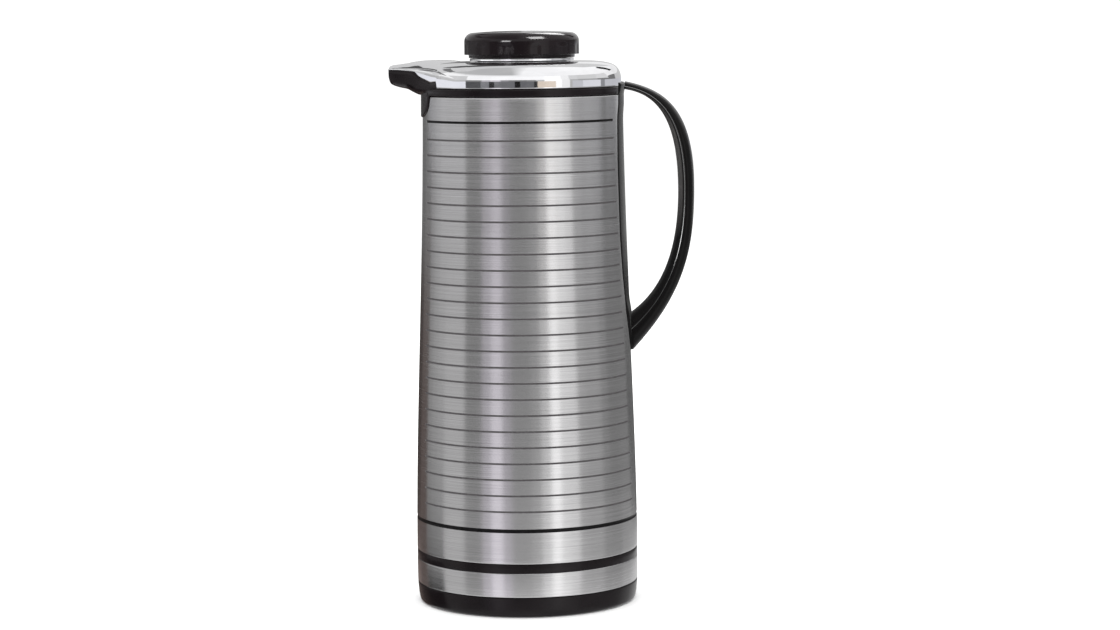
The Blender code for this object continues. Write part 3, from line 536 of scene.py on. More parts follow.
# Lines: darkest and lightest colour, roughness range, specular level, noise scale and strength of relief.
LINES = {
    # The fine grooves' dark colour is painted shade, standing in for the darker surroundings a groove
    # mirrors.
    "groove_shade": ((0.050, 0.046, 0.048), (0.085, 0.080, 0.083), (0.50, 0.64), 0.15, 900.0, 0.4),
    "painted_line": ((0.002, 0.002, 0.002), (0.006, 0.005, 0.006), (0.25, 0.40), 0.12, 500.0, 0.3),
}
# Black plastics: darkest and lightest colour, roughness range, specular level, grain scale and depth, and
# whether the inner face gets a painted grey sheen that stands in for a reflection.
BLACKS = {
    "black_plastic": ((0.005, 0.0034, 0.0042), (0.0084, 0.006, 0.007), (0.14, 0.24), 0.18, 1400, 8e-6, False),
    "knob_plastic": ((0.006, 0.0036, 0.0046), (0.010, 0.0062, 0.0076), (0.09, 0.16), 0.24, 1800, 6e-6, False),
    "handle_plastic": ((0.003, 0.0028, 0.0028), (0.005, 0.0046, 0.0046), (0.2, 0.32), 0.1, 1600, 12e-6, True),
}
# Plain finishes: darkest and lightest colour, roughness range, noise scale and grain depth.
PLAINS = {
    "grey_plastic": ((0.26, 0.26, 0.25), (0.33, 0.33, 0.32), (0.45, 0.58), 90.0, 0.00002),
    "silicone": ((0.56, 0.54, 0.48), (0.68, 0.66, 0.61), (0.50, 0.65), 110.0, 0.00002),
    "rubber": ((0.022, 0.022, 0.022), (0.045, 0.044, 0.043), (0.70, 0.85), 150.0, 0.00003),
    "foam": ((0.74, 0.71, 0.64), (0.86, 0.84, 0.78), (0.85, 0.98), 400.0, 0.00010),
}


def make_materials():
    """Every finish by its name, which is also the slot's name."""
    materials = {
        "brushed_steel": brushed_steel(),
        "chrome": chrome("chrome", 0.00010),
        "ring_chrome": chrome("ring_chrome", 0.00001),
        "silvered_glass": silvered_glass(),
        "zinc_steel": dull_metal(),
    }
    for name, look in LINES.items():
        materials[name] = dark_line(name, *look)
    for name, look in BLACKS.items():
        materials[name] = moulded_black(name, *look)
    for name, look in PLAINS.items():
        materials[name] = soft_plain(name, *look)
    return materials


# Pieces


def line_rows():
    """Marks round the shell, highest first: (centre, half width, depth, material slot, goes all round)."""
    rows = [(HIGH_LINE[0], HIGH_LINE[1] / 2, THICK_LINE_DEPTH, 2, False)]
    for index in reversed(range(THIN_LINES)):
        rows.append((THIN_LINE_LOW + index * THIN_LINE_PITCH, THIN_LINE_WIDTH / 2, THIN_LINE_DEPTH, 1, False))
    rows.append((LOW_LINE[0], LOW_LINE[1] / 2, THICK_LINE_DEPTH, 2, True))
    return rows


def line_window(angle, z):
    """1 where the lines run, 0 in the plain strips at spout and handle, with a short soft end."""
    along = (z - THIN_LINE_LOW) / (HIGH_LINE[0] - THIN_LINE_LOW)
    spout = SPOUT_STRIP[0] + (SPOUT_STRIP[1] - SPOUT_STRIP[0]) * along
    handle = HANDLE_STRIP[0] + (HANDLE_STRIP[1] - HANDLE_STRIP[0]) * along
    degrees = abs((math.degrees(angle) + 180.0) % 360.0 - 180.0)
    inside = min(degrees - handle, 180.0 - spout - degrees)
    return min(1.0, max(0.0, inside + 0.5))


def shell_profile():
    """Rows of the shell (radius, height, line depth, slot, all round), down the outside and up the inside."""
    low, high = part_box("outer_shell")
    band_low, band_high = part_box("trim_band")
    band_radius = shell_radius(band_high.z)
    groove = band_radius - BAND_GROOVE
    top_radius = SHELL_CURVE[0][0]
    top = [(FLANGE_RADIUS, high.z), (top_radius, high.z), (shell_radius(high.z - 0.003), high.z - 0.003)]
    rows = [(r, z, 0.0, 0, True) for r, z in soften(top, 0.0009, closed=False)]
    marks = []
    for centre, half, depth, slot, whole in line_rows():
        marks += [
            (centre + half + LINE_EDGE, 0.0, 0, whole),
            (centre + half, 0.0, slot, whole),
            (centre + 0.6 * half, depth, slot, whole),
            (centre - 0.6 * half, depth, slot, whole),
            (centre - half, 0.0, 0, whole),
            (centre - half - LINE_EDGE, 0.0, 0, whole),
        ]
        if slot == 1:
            marks.append((centre - THIN_LINE_PITCH / 2, 0.0, 0, whole))
    rows += [(shell_radius(z), z, depth, slot, whole) for z, depth, slot, whole in marks]
    rows += [(shell_radius(z), z, 0.0, 0, True) for z in (0.0475, 0.0435, 0.0395, 0.0360)]
    foot = [
        (band_radius, band_high.z + 0.002), (band_radius, band_high.z),
        (groove, band_high.z), (groove, band_low.z),
        (band_radius, band_low.z),
        (shell_radius(0.0200), 0.0200),
        (shell_radius(low.z), low.z),
        (FOOT_LIP_RADIUS, low.z),
        (FOOT_LIP_RADIUS, low.z + SHELL_WALL),
        (shell_radius(0.0140) - SHELL_WALL, low.z + SHELL_WALL),
        (groove - SHELL_WALL, band_low.z),
        (groove - SHELL_WALL, band_high.z + SHELL_WALL),
        *((shell_radius(z) - SHELL_WALL, z) for z in (0.0500, 0.1500, 0.2500)),
        (top_radius - SHELL_WALL, high.z - SHELL_WALL),
        (FLANGE_RADIUS, high.z - SHELL_WALL),
    ]
    rows += [(r, z, 0.0, 0, True) for r, z in soften(foot, EDGE_ROUND, closed=False, least_turn=40.0)]
    return rows


def shell(materials):
    """Brushed steel shell; each dark line is a shallow groove with its own finish, the fine ones painted dark
    as shade, the two thick ones black enamel.
    """
    columns = 2 * ROUND
    angles = np.linspace(0.0, math.tau, columns, endpoint=False)
    rows = shell_profile()
    vertices, slots = [], []
    for radius, z, depth, slot, whole in rows:
        for angle in angles:
            shown = 1.0 if whole else line_window(angle, z)
            reach = radius - depth * shown
            vertices.append((reach * math.cos(angle), reach * math.sin(angle), z))
            slots.append(slot if shown > 0.5 else 0)
    faces = grid_faces(len(rows), columns, True, True)
    obj = new_piece("shell", vertices, faces, slots)
    looks = ("brushed_steel", "groove_shade", "painted_line")
    settle(obj, "jug", "outer_shell", "brushed_steel", materials, *looks)


def band(materials):
    """Black band in the shell's rolled groove, slightly crowned."""
    low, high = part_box("trim_band")
    outer = shell_radius(high.z)
    inner = outer - 0.0008
    middle = (low.z + high.z) / 2
    edge = outer - 0.0002
    profile = [(inner, high.z), (edge, high.z), (outer, middle), (edge, low.z), (inner, low.z)]
    obj = lathe("band", soften(profile, 0.0005))
    settle(obj, "jug", "trim_band", "black_plastic", materials)


def base(materials):
    """Foot with a rounded rim, the pad's recess and the spigot inside the shell."""
    low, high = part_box("base_cap")
    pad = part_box("base_pad")[1].x + GAP
    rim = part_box("outer_shell")[0].z - GAP
    profile = [
        (0.0625, 0.0060), (0.0625, high.z), (0.0649, high.z), (0.0649, rim),
        (0.0686, rim), (0.0682, 0.0080), (0.0679, 0.0048), (0.0673, 0.0017),
        (0.0667, 0.0006), (0.0655, low.z), (pad, low.z), (pad, 0.0015),
    ]
    outline = [(0.0, 0.0039), (0.0610, 0.0039)] + soften(profile, 0.0007, closed=False, least_turn=8.0)
    obj = lathe("base", outline + [(0.0, 0.0015)], closed=False)
    settle(obj, "jug", "base_cap", "black_plastic", materials)


def spout_half_width(x):
    return smooth_table(SPOUT_STATIONS, x, 1)


def cap_plan(count):
    """Plan outline of cap and spout (x, y), evenly spaced, starting at the handle side."""
    radius = CAP_OUTLINE[-1][0]
    tip = SPOUT_STATIONS[-1][0]
    points = arc((0.0, 0.0), (radius, radius), 0, 141, 900)
    for x in np.linspace(points[-1][0], tip + TIP_ROUND, 900)[1:]:
        circle = math.sqrt(max(radius * radius - x * x, 0.0))
        width = spout_half_width(x)
        blend = 0.0008
        points.append((x, (circle + width + math.sqrt((circle - width) ** 2 + blend**2)) / 2))
    corner_x, corner_y = points[-1]
    points += arc((corner_x, corner_y - TIP_ROUND), (-TIP_ROUND, TIP_ROUND), 90, 0, 9)[1:]
    points.append((points[-1][0], 0.0))
    half = np.array(points)
    lengths = np.concatenate(([0.0], np.cumsum(np.linalg.norm(np.diff(half, axis=0), axis=1))))
    even = np.linspace(0.0, lengths[-1], count // 2 + 1)
    right = np.stack([np.interp(even, lengths, half[:, axis]) for axis in (0, 1)], axis=1)
    left = right[-2:0:-1] * (1, -1)
    return np.concatenate((right, left))


def split_height(x):
    """Height of the chrome's lower edge on the spout."""
    return smooth_table(SPOUT_SPLIT, x, 1)


def dome_height(radius):
    """Height of the dome, as a smooth curve through its outline, falling steeply outside it."""
    edge, edge_height = CAP_OUTLINE[-1]
    if radius > edge:
        return edge_height - 6.0 * (radius - edge)
    return smooth_table(CAP_OUTLINE[::-1], radius, 1)


def roof_height(x, y):
    """Height of the spout's crowned roof, falling away outside it."""
    width = spout_half_width(x)
    crown = smooth_table(SPOUT_STATIONS, x, 2)
    edge = smooth_table(SPOUT_STATIONS, x, 3)
    across = abs(y) / width
    if across <= 1.0:
        return edge + (crown - edge) * (1.0 - across**1.6)
    return edge - 1.6 * (crown - edge) * (across - 1.0)


def cap_height(x, y, from_edge):
    """Top surface of the cap: dome and spout roof blended, with the roof's rim rounded over."""
    dome = dome_height(math.hypot(x, y))
    if x > ROOF_START:
        return dome
    rim = float(np.interp(-x, *zip(*ROOF_RIM)))
    roof = roof_height(x, y)
    if from_edge < rim:
        roof -= rim * (1.0 - math.sqrt(max(0.0, 1.0 - (1.0 - from_edge / rim) ** 2)))
    fade = min(1.0, (ROOF_START - x) / ROOF_FADE)
    roof = roof * fade + (dome - 0.004) * (1.0 - fade)
    higher = (dome + roof + math.sqrt((dome - roof) ** 2 + ROOF_BLEND**2)) / 2
    return higher - 0.5 * ROOF_BLEND * math.exp(-abs(dome - roof) / ROOF_BLEND)


def cap(materials):
    """Chrome dome with the spout's roof: one skin from the stopper's opening to the lower rim."""
    plan = cap_plan(CAP_FACETS)
    hole = CAP_OUTLINE[0][0]
    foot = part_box("chrome_cap")[0].z
    stretches = ((0.0, 0.72, 22), (0.72, 0.96, 22), (0.96, 1.0, 16))
    along = np.unique(np.concatenate([np.linspace(*stretch) for stretch in stretches]))
    rows = [[] for _ in range(len(along) + 6)]
    for x, y in plan:
        edge = np.array((x, y))
        start = edge / np.linalg.norm(edge) * hole
        length = np.linalg.norm(edge - start)
        last = 0.0
        for index, t in enumerate(along):
            px, py = start + (edge - start) * t
            last = cap_height(px, py, (1.0 - t) * length)
            rows[index].append((px, py, last))
        bottom = split_height(x) if x < SPOUT_SPLIT[0][0] else foot
        bottom = min(bottom, last - 0.0001)
        for step in range(6):
            rows[len(along) + step].append((x, y, last + (bottom - last) * (step + 1) / 6))
    vertices = [point for row in rows for point in row]
    obj = new_piece("cap", vertices, grid_faces(len(rows), len(plan), False, True))
    skin = obj.modifiers.new("Wall", "SOLIDIFY")
    skin.thickness = CAP_WALL
    skin.offset = -1.0
    skin.use_even_offset = False
    settle(obj, "jug", "chrome_cap", "chrome", materials)


def spout_hull():
    """Black lower half of the spout: a channel with rounded outside and a thin lip, open along its top."""
    sections = []
    tip = SPOUT_STATIONS[-1][0]
    for x in np.linspace(SPOUT_SPLIT[0][0], tip, 70):
        width = spout_half_width(x) - 0.00005
        edge = smooth_table(SPOUT_STATIONS, x, 3)
        bottom = smooth_table(SPOUT_STATIONS, x, 4)
        top = min(split_height(x) - 0.0002, edge)
        inner_width = min(width - SPOUT_WALL, TROUGH_HALF_WIDTH)
        floor = max(bottom + SPOUT_WALL, TROUGH_FLOOR)
        sections.append(hull_section(x, width, top, bottom, inner_width, min(floor, top - 0.0006)))
    return loft("hull", sections)


def hull_section(x, width, top, bottom, inner_width, floor):
    """Section of a channel: down and up its rounded outside, then back along its inside."""
    outer, inner = [], []
    for angle in np.linspace(0.0, math.pi, 33):
        across = signed_power(math.cos(angle), 0.5)
        down = signed_power(math.sin(angle), 0.5)
        outer.append((x, width * across, top - (top - bottom) * down))
        inner.append((x, inner_width * across, top - (top - floor) * down))
    return outer + inner[::-1]


def trough():
    """The channel's inner end, from the neck's window to the spout."""
    bottom = 0.3150
    inside = (TROUGH_HALF_WIDTH, TROUGH_FLOOR)
    return loft("trough", [hull_section(x, TROUGH_OUTSIDE, top, bottom, *inside) for x, top in TROUGH_END])


def shield():
    """Shield under the spout, a thin plate that follows the shell."""
    stations = [(-z, half) for z, half in SHIELD_STATIONS]
    foot, head = SHIELD_STATIONS[0][0], SHIELD_STATIONS[-1][0]
    across = np.linspace(-1.0, 1.0, 41)
    sections = []
    for z in np.linspace(foot, head, 60):
        half_width = smooth_table(stations, -z, 1)
        body = shell_radius(z)
        inner = body + 0.0001 if z < 0.3138 else 0.0600
        outer = body + GAP + SHIELD_PROUD * min(1.0, (z - foot + 0.0004) / 0.0012)
        reach = math.asin(half_width / outer)
        angles = math.pi + reach * across
        edge = 1.0 - 0.7 * np.abs(across) ** 24
        outside = [(inner + (outer - inner) * e, a) for a, e in zip(angles, edge)]
        ring = [(r * math.cos(a), r * math.sin(a), z) for r, a in outside]
        ring += [(inner * math.cos(a), inner * math.sin(a), z) for a in angles[::-1]]
        sections.append(ring)
    return loft("shield", sections)


def collar(materials):
    """Black collar between shell and cap, with the spout's lower half, its channel and the shield."""
    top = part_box("chrome_cap")[0].z - GAP
    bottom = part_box("outer_shell")[1].z + GAP
    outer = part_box("shoulder_collar")[1].x
    ring = [
        (0.0582, 0.3220), (0.0594, 0.3220), (0.0594, top), (outer, top),
        (outer, bottom), (0.0360, bottom), (0.0360, 0.3160), (0.0582, 0.3160),
    ]
    obj = join("collar", lathe("ring", soften(ring, 0.0005)), spout_hull(), trough(), shield())
    settle(obj, "jug", "shoulder_collar", "black_plastic", materials)


def flute_depth(angle, drop, radius):
    """How far a grip flute is pressed in, at an angle and a distance below the knob's rounded shoulder."""
    turn = angle / math.tau * KNOB_FLUTES - FLUTE_PHASE
    offset = (turn - round(turn)) * math.tau / KNOB_FLUTES * radius
    run_out = min(1.0, max(0.0, drop / FLUTE_RUN_OUT))
    eased = run_out * run_out * (3.0 - 2.0 * run_out)
    return FLUTE_DEPTH * math.exp(-((offset / FLUTE_HALF_WIDTH) ** 2)) * eased


def knob(materials):
    """Knob with shallow grip flutes that fade out towards its rounded top edge."""
    low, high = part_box("stopper_knob")
    radius = high.x
    skirt = low.z + KNOB_FOOT
    shoulder_r, shoulder_z = radius - KNOB_ROUND, high.z - 0.0010 - KNOB_ROUND
    outline = [(0.0, high.z), (0.008, high.z - 0.00002), (0.016, high.z - 0.00018), (0.023, high.z - 0.0005)]
    outline += arc((shoulder_r, shoulder_z), (KNOB_ROUND, KNOB_ROUND), 90, 0, 14)
    outline += [(radius, z) for z in np.linspace(shoulder_z, skirt + 0.0006, 18)[1:]]
    corner = [(radius, skirt + 0.0006), (radius, skirt), (0.0326, skirt), (0.0326, low.z), (0.0304, low.z)]
    outline += soften(corner, 0.0005, closed=False)[1:]
    outline += [(0.0304, low.z + 0.003), (KNOB_WALL_INSIDE, 0.3400), (KNOB_WALL_INSIDE, shoulder_z)]
    outline += [(0.0295, 0.3496), (0.0, 0.3504)]
    obj = lathe("knob", outline, steps=2 * ROUND, closed=False)
    for vertex in obj.data.vertices:
        place = vertex.co
        reach = math.hypot(place.x, place.y)
        if reach > KNOB_WALL_INSIDE + 0.0001 and skirt - 0.0001 <= place.z <= shoulder_z:
            scale = 1.0 - flute_depth(math.atan2(place.y, place.x), shoulder_z - place.z, radius) / reach
            place.x *= scale
            place.y *= scale
    obj.data.update()
    settle(obj, "stopper", "stopper_knob", "knob_plastic", materials)


def stopper_ring(materials):
    """Bright ring under the knob."""
    low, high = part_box("stopper_ring")
    profile = [(0.0278, high.z), (high.x, high.z), (high.x, low.z), (0.0278, low.z)]
    obj = lathe("bright_ring", soften(profile, 0.0003))
    settle(obj, "stopper", "stopper_ring", "chrome", materials, "ring_chrome")


def ridges(radius, start_z):
    """Round helical ridges, one for each start."""
    made = []
    turns = np.linspace(0.0, THREAD_TURNS, 60)
    for start in range(THREAD_STARTS):
        sections = []
        for turn in turns:
            angle = math.tau * (turn + start / THREAD_STARTS)
            centre_z = start_z + THREAD_LEAD * turn
            taper = min(1.0, 0.35 + 12.0 * min(turn, THREAD_TURNS - turn))
            section = []
            for step in range(12):
                around = math.tau * step / 12
                reach = radius + THREAD_ROUND * taper * math.cos(around)
                z = centre_z + THREAD_ROUND * taper * math.sin(around)
                section.append((reach * math.cos(angle), reach * math.sin(angle), z))
            sections.append(section)
        made.append(loft(f"ridge_{start}", sections))
    return made


def plug(materials):
    """Threaded plug, with a groove round its foot where the gasket sits."""
    low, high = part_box("stopper_plug")
    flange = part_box("stopper_knob")[0].z
    profile = [
        (0.0216, high.z), (0.0300, high.z), (0.0300, flange), (0.0274, flange),
        (0.0274, 0.3340), (0.0240, 0.3340), (0.0240, 0.3040), (0.0196, 0.3040),
        (0.0196, low.z),
    ]
    outline = [(0.0, 0.3044), (0.0216, 0.3044)] + soften(profile, 0.0005, closed=False) + [(0.0, low.z)]
    body = lathe("plug_body", outline, closed=False)
    obj = join("plug", body, *ridges(0.0246, 0.3210 - THREAD_LEAD / THREAD_STARTS / 2))
    settle(obj, "stopper", "stopper_plug", "knob_plastic", materials)


def gasket(materials):
    """Gasket with a bevelled sealing edge."""
    low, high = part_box("stopper_gasket")
    outer = high.x
    profile = [
        (0.0199, high.z), (outer - 0.0002, high.z), (outer, high.z - 0.0011),
        (outer - 0.0006, low.z), (0.0212, low.z), (0.0199, low.z + 0.0010),
    ]
    obj = lathe("gasket", soften(profile, 0.0004, least_turn=15.0), steps=SMALL_ROUND)
    settle(obj, "seal", "stopper_gasket", "silicone", materials)


def neck(materials):
    """Threaded neck with the stopper's seat; its top rim shows when the stopper is up."""
    low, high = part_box("pour_neck")
    profile = [
        (0.0310, high.z), (0.0310, 0.3134), (high.x, 0.3134),
        (high.x, 0.3114), (0.0310, 0.3114), (0.0310, low.z),
        (0.0286, low.z), (0.0286, 0.2990), (0.0200, 0.2990),
        (0.0200, 0.3011), (0.0267, 0.3011), (0.0267, 0.3190),
        (0.0267, 0.3284), (0.0267, high.z - 0.0015), (0.0275, high.z),
    ]
    obj = join("neck", lathe("neck_body", soften(profile, 0.0005), steps=ROUND), *ridges(0.0260, 0.3210))
    settle(obj, "jug", "pour_neck", "black_plastic", materials)


def handle_point(curves, along):
    """Point (x, z) on a pair of curves, 0 at the shoulder and 2 at the foot."""
    piece = min(1, int(along))
    return bezier(curves[piece], along - piece)


def handle_half_width(along):
    """Half width of the grip, its table of widths smoothed."""
    keys = np.linspace(0.0, 2.0, len(HANDLE_WIDTHS))
    smooth = [np.interp(along + offset, keys, HANDLE_WIDTHS) for offset in (-0.2, -0.1, 0.0, 0.1, 0.2)]
    return float(np.mean(smooth))


def handle_section(along, outer_part):
    """The cover's half of the grip, away from the jug, or the frame's half; the parting edges are eased."""
    outer = handle_point(HANDLE_OUTER, along)
    inner = handle_point(HANDLE_INNER, along)
    middle = (outer + inner) / 2
    half = (outer - inner) / 2
    reach = float(np.linalg.norm(half))
    side = 1.0 if outer_part else -1.0
    level = 2.0 * HANDLE_SPLIT - 1.0 + side * HANDLE_GAP / 2 / reach
    power = 2.0 / HANDLE_SQUARENESS
    limit = math.acos(signed_power(level, 1.0 / power))
    sweep = (-limit, limit) if outer_part else (limit, math.tau - limit)
    width = handle_half_width(along)
    flat = []
    for angle in np.linspace(*sweep, 33):
        across = signed_power(math.cos(angle), power)
        flat.append((reach * across, width * signed_power(math.sin(angle), power)))
    for index, place in ((0, 1), (-1, -1)):
        outward, sideways = flat[index]
        flat[index] = (outward, sideways - math.copysign(HANDLE_EASE, sideways))
        eased = (outward + side * 0.3 * HANDLE_EASE, sideways - math.copysign(0.25 * HANDLE_EASE, sideways))
        flat.insert(place, eased)
    direction = half / reach
    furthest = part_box("handle_cover")[1].x - FIT
    section = []
    for outward, sideways in flat:
        x, z = middle + direction * outward
        section.append((min(x, furthest), sideways, z))
    return section


def handle_loft(name, outer_part, start):
    return loft(name, [handle_section(along, outer_part) for along in np.linspace(start, 2.0, 110)])


def strap_back(z):
    """Radius of the strap's back: clear of the shell, and of the collar above it."""
    clear_of_shell = shell_radius(z) + STRAP_GAP
    lift = min(1.0, max(0.0, (z - STRAP_STEP_Z) / 0.008))
    return clear_of_shell + (STRAP_TOP_RADIUS - shell_radius(SHELL_CURVE[0][1]) - STRAP_GAP) * lift


def strap():
    """Strap that lies along the shell between the grip's ends, with rounded ends and edges."""
    low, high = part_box("handle_frame")
    rings = np.linspace(low.z, high.z, len(STRAP_HALF_ANGLES))
    across = np.linspace(-1.0, 1.0, 49)
    heights = np.concatenate((
        low.z + 0.004 * (1.0 - np.cos(np.linspace(0.0, math.pi / 2, 8))),
        np.linspace(low.z + 0.006, 0.3170, 50),
        high.z - STRAP_END_ROUND * (1.0 - np.sin(np.linspace(0.0, math.pi / 2, 6))),
    ))
    sections = []
    for z in heights:
        back = strap_back(z)
        foot = min(1.0, math.sqrt(max(0.0, (z - low.z) / 0.004)) * 0.6 + 0.4)
        top = math.sqrt(max(0.05, min(1.0, (high.z - z) / STRAP_END_ROUND)))
        reach = math.radians(float(np.interp(z, rings, STRAP_HALF_ANGLES))) * foot
        proud = float(np.interp(z, *zip(*STRAP_PROUD))) - STRAP_GAP
        front = back + proud * top * (1.0 - 0.5 * np.abs(across) ** 30)
        ring = [(r * math.cos(a * reach), r * math.sin(a * reach), z) for a, r in zip(across, front)]
        ring += [(back * math.cos(a * reach), back * math.sin(a * reach), z) for a in across[::-1]]
        sections.append(ring)
    return loft("strap", sections)


def handle(materials):
    """Handle's two halves, kept out of the mirror images in the steel, which shows none of them."""
    back = join("handle_back", handle_loft("grip_back", False, FRAME_START), strap())
    settle(back, "jug", "handle_frame", "handle_plastic", materials)
    cover = handle_loft("handle_front", True, COVER_START)
    settle(cover, "jug", "handle_cover", "handle_plastic", materials)
    for obj in (back, cover):
        obj.visible_glossy = False


def finish_hidden_nodes(frame, materials):
    """Gives every CAD node that still shows the finish of its slot in the record."""
    slots = {entry["node"]: entry["material_slot"] for entry in frame["record"]["subparts"]}
    for name, node in frame["nodes"].items():
        if not node.hide_render:
            node.data.materials.clear()
            node.data.materials.append(materials[slots[name]])
            node.data.shade_smooth()


# Studio


GREY = (1.0, 1.0, 1.0)
LILAC = (0.97, 0.93, 1.0)
BROWN = (1.0, 0.78, 0.72)
COOL = (0.97, 0.98, 1.04)
AMBER = (1.0, 0.86, 0.72)

# Walls round the jug: upright strips, each cut at the same heights into four panels from low to high. A strip
# has its azimuths in degrees from the camera's side, positive to the right, its panels' glow and a tint.
TENT_RADIUS = 0.90
TENT_LEVELS = (-0.45, -0.11, 0.15, 0.47, 0.68)
# How many of a strip's panels take its tint, counted from the lowest.
TINTED_LEVELS = {GREY: 4, BROWN: 2, LILAC: 3}
TENT_STRIPS = (
    (-180.0, -145.0, (0.22, 0.06, 0.17, 0.66), BROWN),
    (-145.0, -125.0, (0.14, 0.13, 0.24, 0.66), BROWN),
    (-125.0, -115.0, (0.04, 0.36, 0.38, 0.68), GREY),
    (-115.0, -105.0, (0.04, 0.44, 0.50, 0.68), GREY),
    (-105.0, -95.0, (0.01, 0.50, 0.60, 0.70), GREY),
    (-95.0, -66.0, (0.60, 0.60, 0.58, 0.70), GREY),
    (-66.0, -46.0, (0.42, 0.30, 0.26, 1.10), GREY),
    (-46.0, -36.0, (0.78, 0.58, 0.56, 1.12), LILAC),
    (-36.0, -24.0, (1.22, 1.02, 0.74, 1.15), LILAC),
    (-24.0, -15.0, (0.82, 0.52, 0.34, 1.15), LILAC),
    (-15.0, 5.0, (0.56, 0.34, 0.24, 1.15), GREY),
    (5.0, 15.0, (0.68, 0.42, 0.32, 1.15), GREY),
    (15.0, 25.0, (1.12, 0.72, 0.60, 1.15), GREY),
    (25.0, 35.0, (1.55, 1.46, 1.35, 1.25), GREY),
    (35.0, 45.0, (1.24, 0.90, 1.20, 1.20), GREY),
    (45.0, 55.0, (0.95, 0.94, 0.96, 1.00), GREY),
    (55.0, 66.0, (0.62, 0.48, 0.50, 0.75), GREY),
    (66.0, 85.0, (0.58, 0.44, 0.42, 0.70), GREY),
    (85.0, 95.0, (0.44, 0.30, 0.40, 0.70), GREY),
    (95.0, 115.0, (0.48, 0.25, 0.24, 0.78), GREY),
    (115.0, 135.0, (0.62, 0.26, 0.20, 1.00), GREY),
    (135.0, 180.0, (0.76, 0.14, 0.62, 0.92), GREY),
)
# What metal sees above the walls: glow against the sine of the elevation, on the jug's left and right, and
# where the one passes into the other. Everything else is lit by the world's plain glow.
LEFT_SKY = ((0.0, 0.66), (0.35, 1.05), (0.52, 1.02), (0.62, 0.54), (1.0, 0.54))
RIGHT_SKY = ((0.0, 0.66), (0.35, 1.05), (0.60, 1.08), (0.90, 1.10), (1.0, 1.04))
SKY_EDGE = (-0.12, 0.06)
WORLD_GLOW = 1.14
# Bright table top beyond the jug's foot, which rolled edges mirror: radii, height, glow.
TABLE_GLOW = (0.20, 0.90, -0.45, 1.10)
# Smaller cards that the cap's upright edge mirrors: azimuths, heights, colour, glow.
CARD_RADIUS = 0.80
CARDS = (
    (-134.0, -66.0, 0.285, 0.316, COOL, 0.92),
    (-66.0, -47.0, 0.285, 0.313, COOL, 0.08),
    (-47.0, -37.0, 0.285, 0.313, COOL, 0.22),
    (-37.0, -31.0, 0.285, 0.313, GREY, 0.01),
    (-31.0, -8.0, 0.285, 0.313, COOL, 0.17),
    (-8.0, -2.0, 0.285, 0.313, GREY, 0.01),
    (-2.0, 13.0, 0.285, 0.313, COOL, 0.15),
    (13.0, 17.0, 0.285, 0.313, GREY, 0.02),
    (17.0, 38.0, 0.285, 0.313, AMBER, 0.80),
    (58.0, 72.0, 0.285, 0.330, COOL, 0.62),
    (72.0, 100.0, 0.285, 0.330, COOL, 0.80),
    (100.0, 108.0, 0.285, 0.330, COOL, 0.30),
    (108.0, 170.0, 0.285, 0.330, COOL, 0.60),
)
# The card that only the chrome ring under the knob mirrors.
RING_CARD = (-100.0, 66.0, 0.290, 0.330)
RING_CARD_RADIUS = 0.40
RING_GLOW = 1.25
# Lamps and dark patches in front of the walls, aimed at the knob: name, azimuth, distance, elevation, half
# width, half height (angles in degrees), glow and the one piece that sees it (None: all do).
KNOB_HEIGHT = 0.345
LAMPS = (
    ("lamp_left", -30.0, 0.34, 8.0, 8.0, 6.0, 26.0, "knob"),
    ("lamp_right", 34.0, 0.34, 44.0, 13.0, 13.0, 26.0, "knob"),
    ("lamp_back", 150.0, 0.50, 50.0, 14.0, 10.0, 12.0, "knob"),
    ("roof_shade", -160.0, 1.20, 45.0, 40.0, 26.0, 0.68, None),
    ("dark_patch", -162.0, 1.10, 38.0, 12.0, 7.0, 0.10, None),
    ("dark_spot", 137.0, 0.80, 28.0, 5.0, 9.0, 0.02, None),
    ("dark_dome", -122.0, 0.90, 37.0, 14.0, 4.0, 0.20, None),
)


def glowing(obj, colour, strength, only_for=None):
    """Makes a studio card glow in mirror images alone; one for a single piece hides nothing behind it."""
    card = Shader(obj.name).set(Specular_IOR_Level=0.0, Emission_Strength=strength)
    card.set(Base_Color=(0.0, 0.0, 0.0, 1.0), Emission_Color=(*colour, 1.0))
    if only_for:
        clear = card.add("ShaderNodeBsdfTransparent").outputs["BSDF"]
        both = card.add("ShaderNodeAddShader", {0: card.surface.outputs["BSDF"], 1: clear})
        card.tree.links.new(both.outputs["Shader"], card.tree.nodes["Material Output"].inputs["Surface"])
        receivers = bpy.data.collections.new(f"{obj.name}_lights")
        receivers.objects.link(bpy.data.objects[only_for])
        obj.light_linking.receiver_collection = receivers
    obj.data.materials.append(card.material)
    obj.visible_camera = False
    obj.visible_diffuse = False
    obj.visible_shadow = False


def studio_strip(name, start, end, radius, low, high):
    """An upright curved strip of wall round the jug."""
    count = max(2, int(abs(end - start) / 3.0) + 1)
    angles = np.radians(np.linspace(start, end, count)) + CAMERA_AZIMUTH
    rows = [[(radius * math.sin(a), -radius * math.cos(a), z) for a in angles] for z in (low, high)]
    return new_piece(name, rows[0] + rows[1], grid_faces(2, count, False, False))


def lamp_card(name, azimuth, distance, elevation, half_width, half_height, strength, only_for):
    """A card aimed at the knob, its place and size given in degrees as seen from there."""
    target = Vector((0.0, 0.0, KNOB_HEIGHT))
    around = math.radians(azimuth) + CAMERA_AZIMUTH
    rise = math.radians(elevation)
    reach = Vector((math.sin(around) * math.cos(rise), -math.cos(around) * math.cos(rise), math.sin(rise)))
    side = Vector((math.cos(around), math.sin(around), 0.0))
    up = reach.cross(side)
    across = side * distance * math.tan(math.radians(half_width))
    along = up * distance * math.tan(math.radians(half_height))
    centre = target + reach * distance
    corners = [centre + across * x + along * y for x, y in ((-1, -1), (1, -1), (1, 1), (-1, 1))]
    glowing(new_piece(name, corners, [(0, 1, 2, 3)]), GREY, strength, only_for)


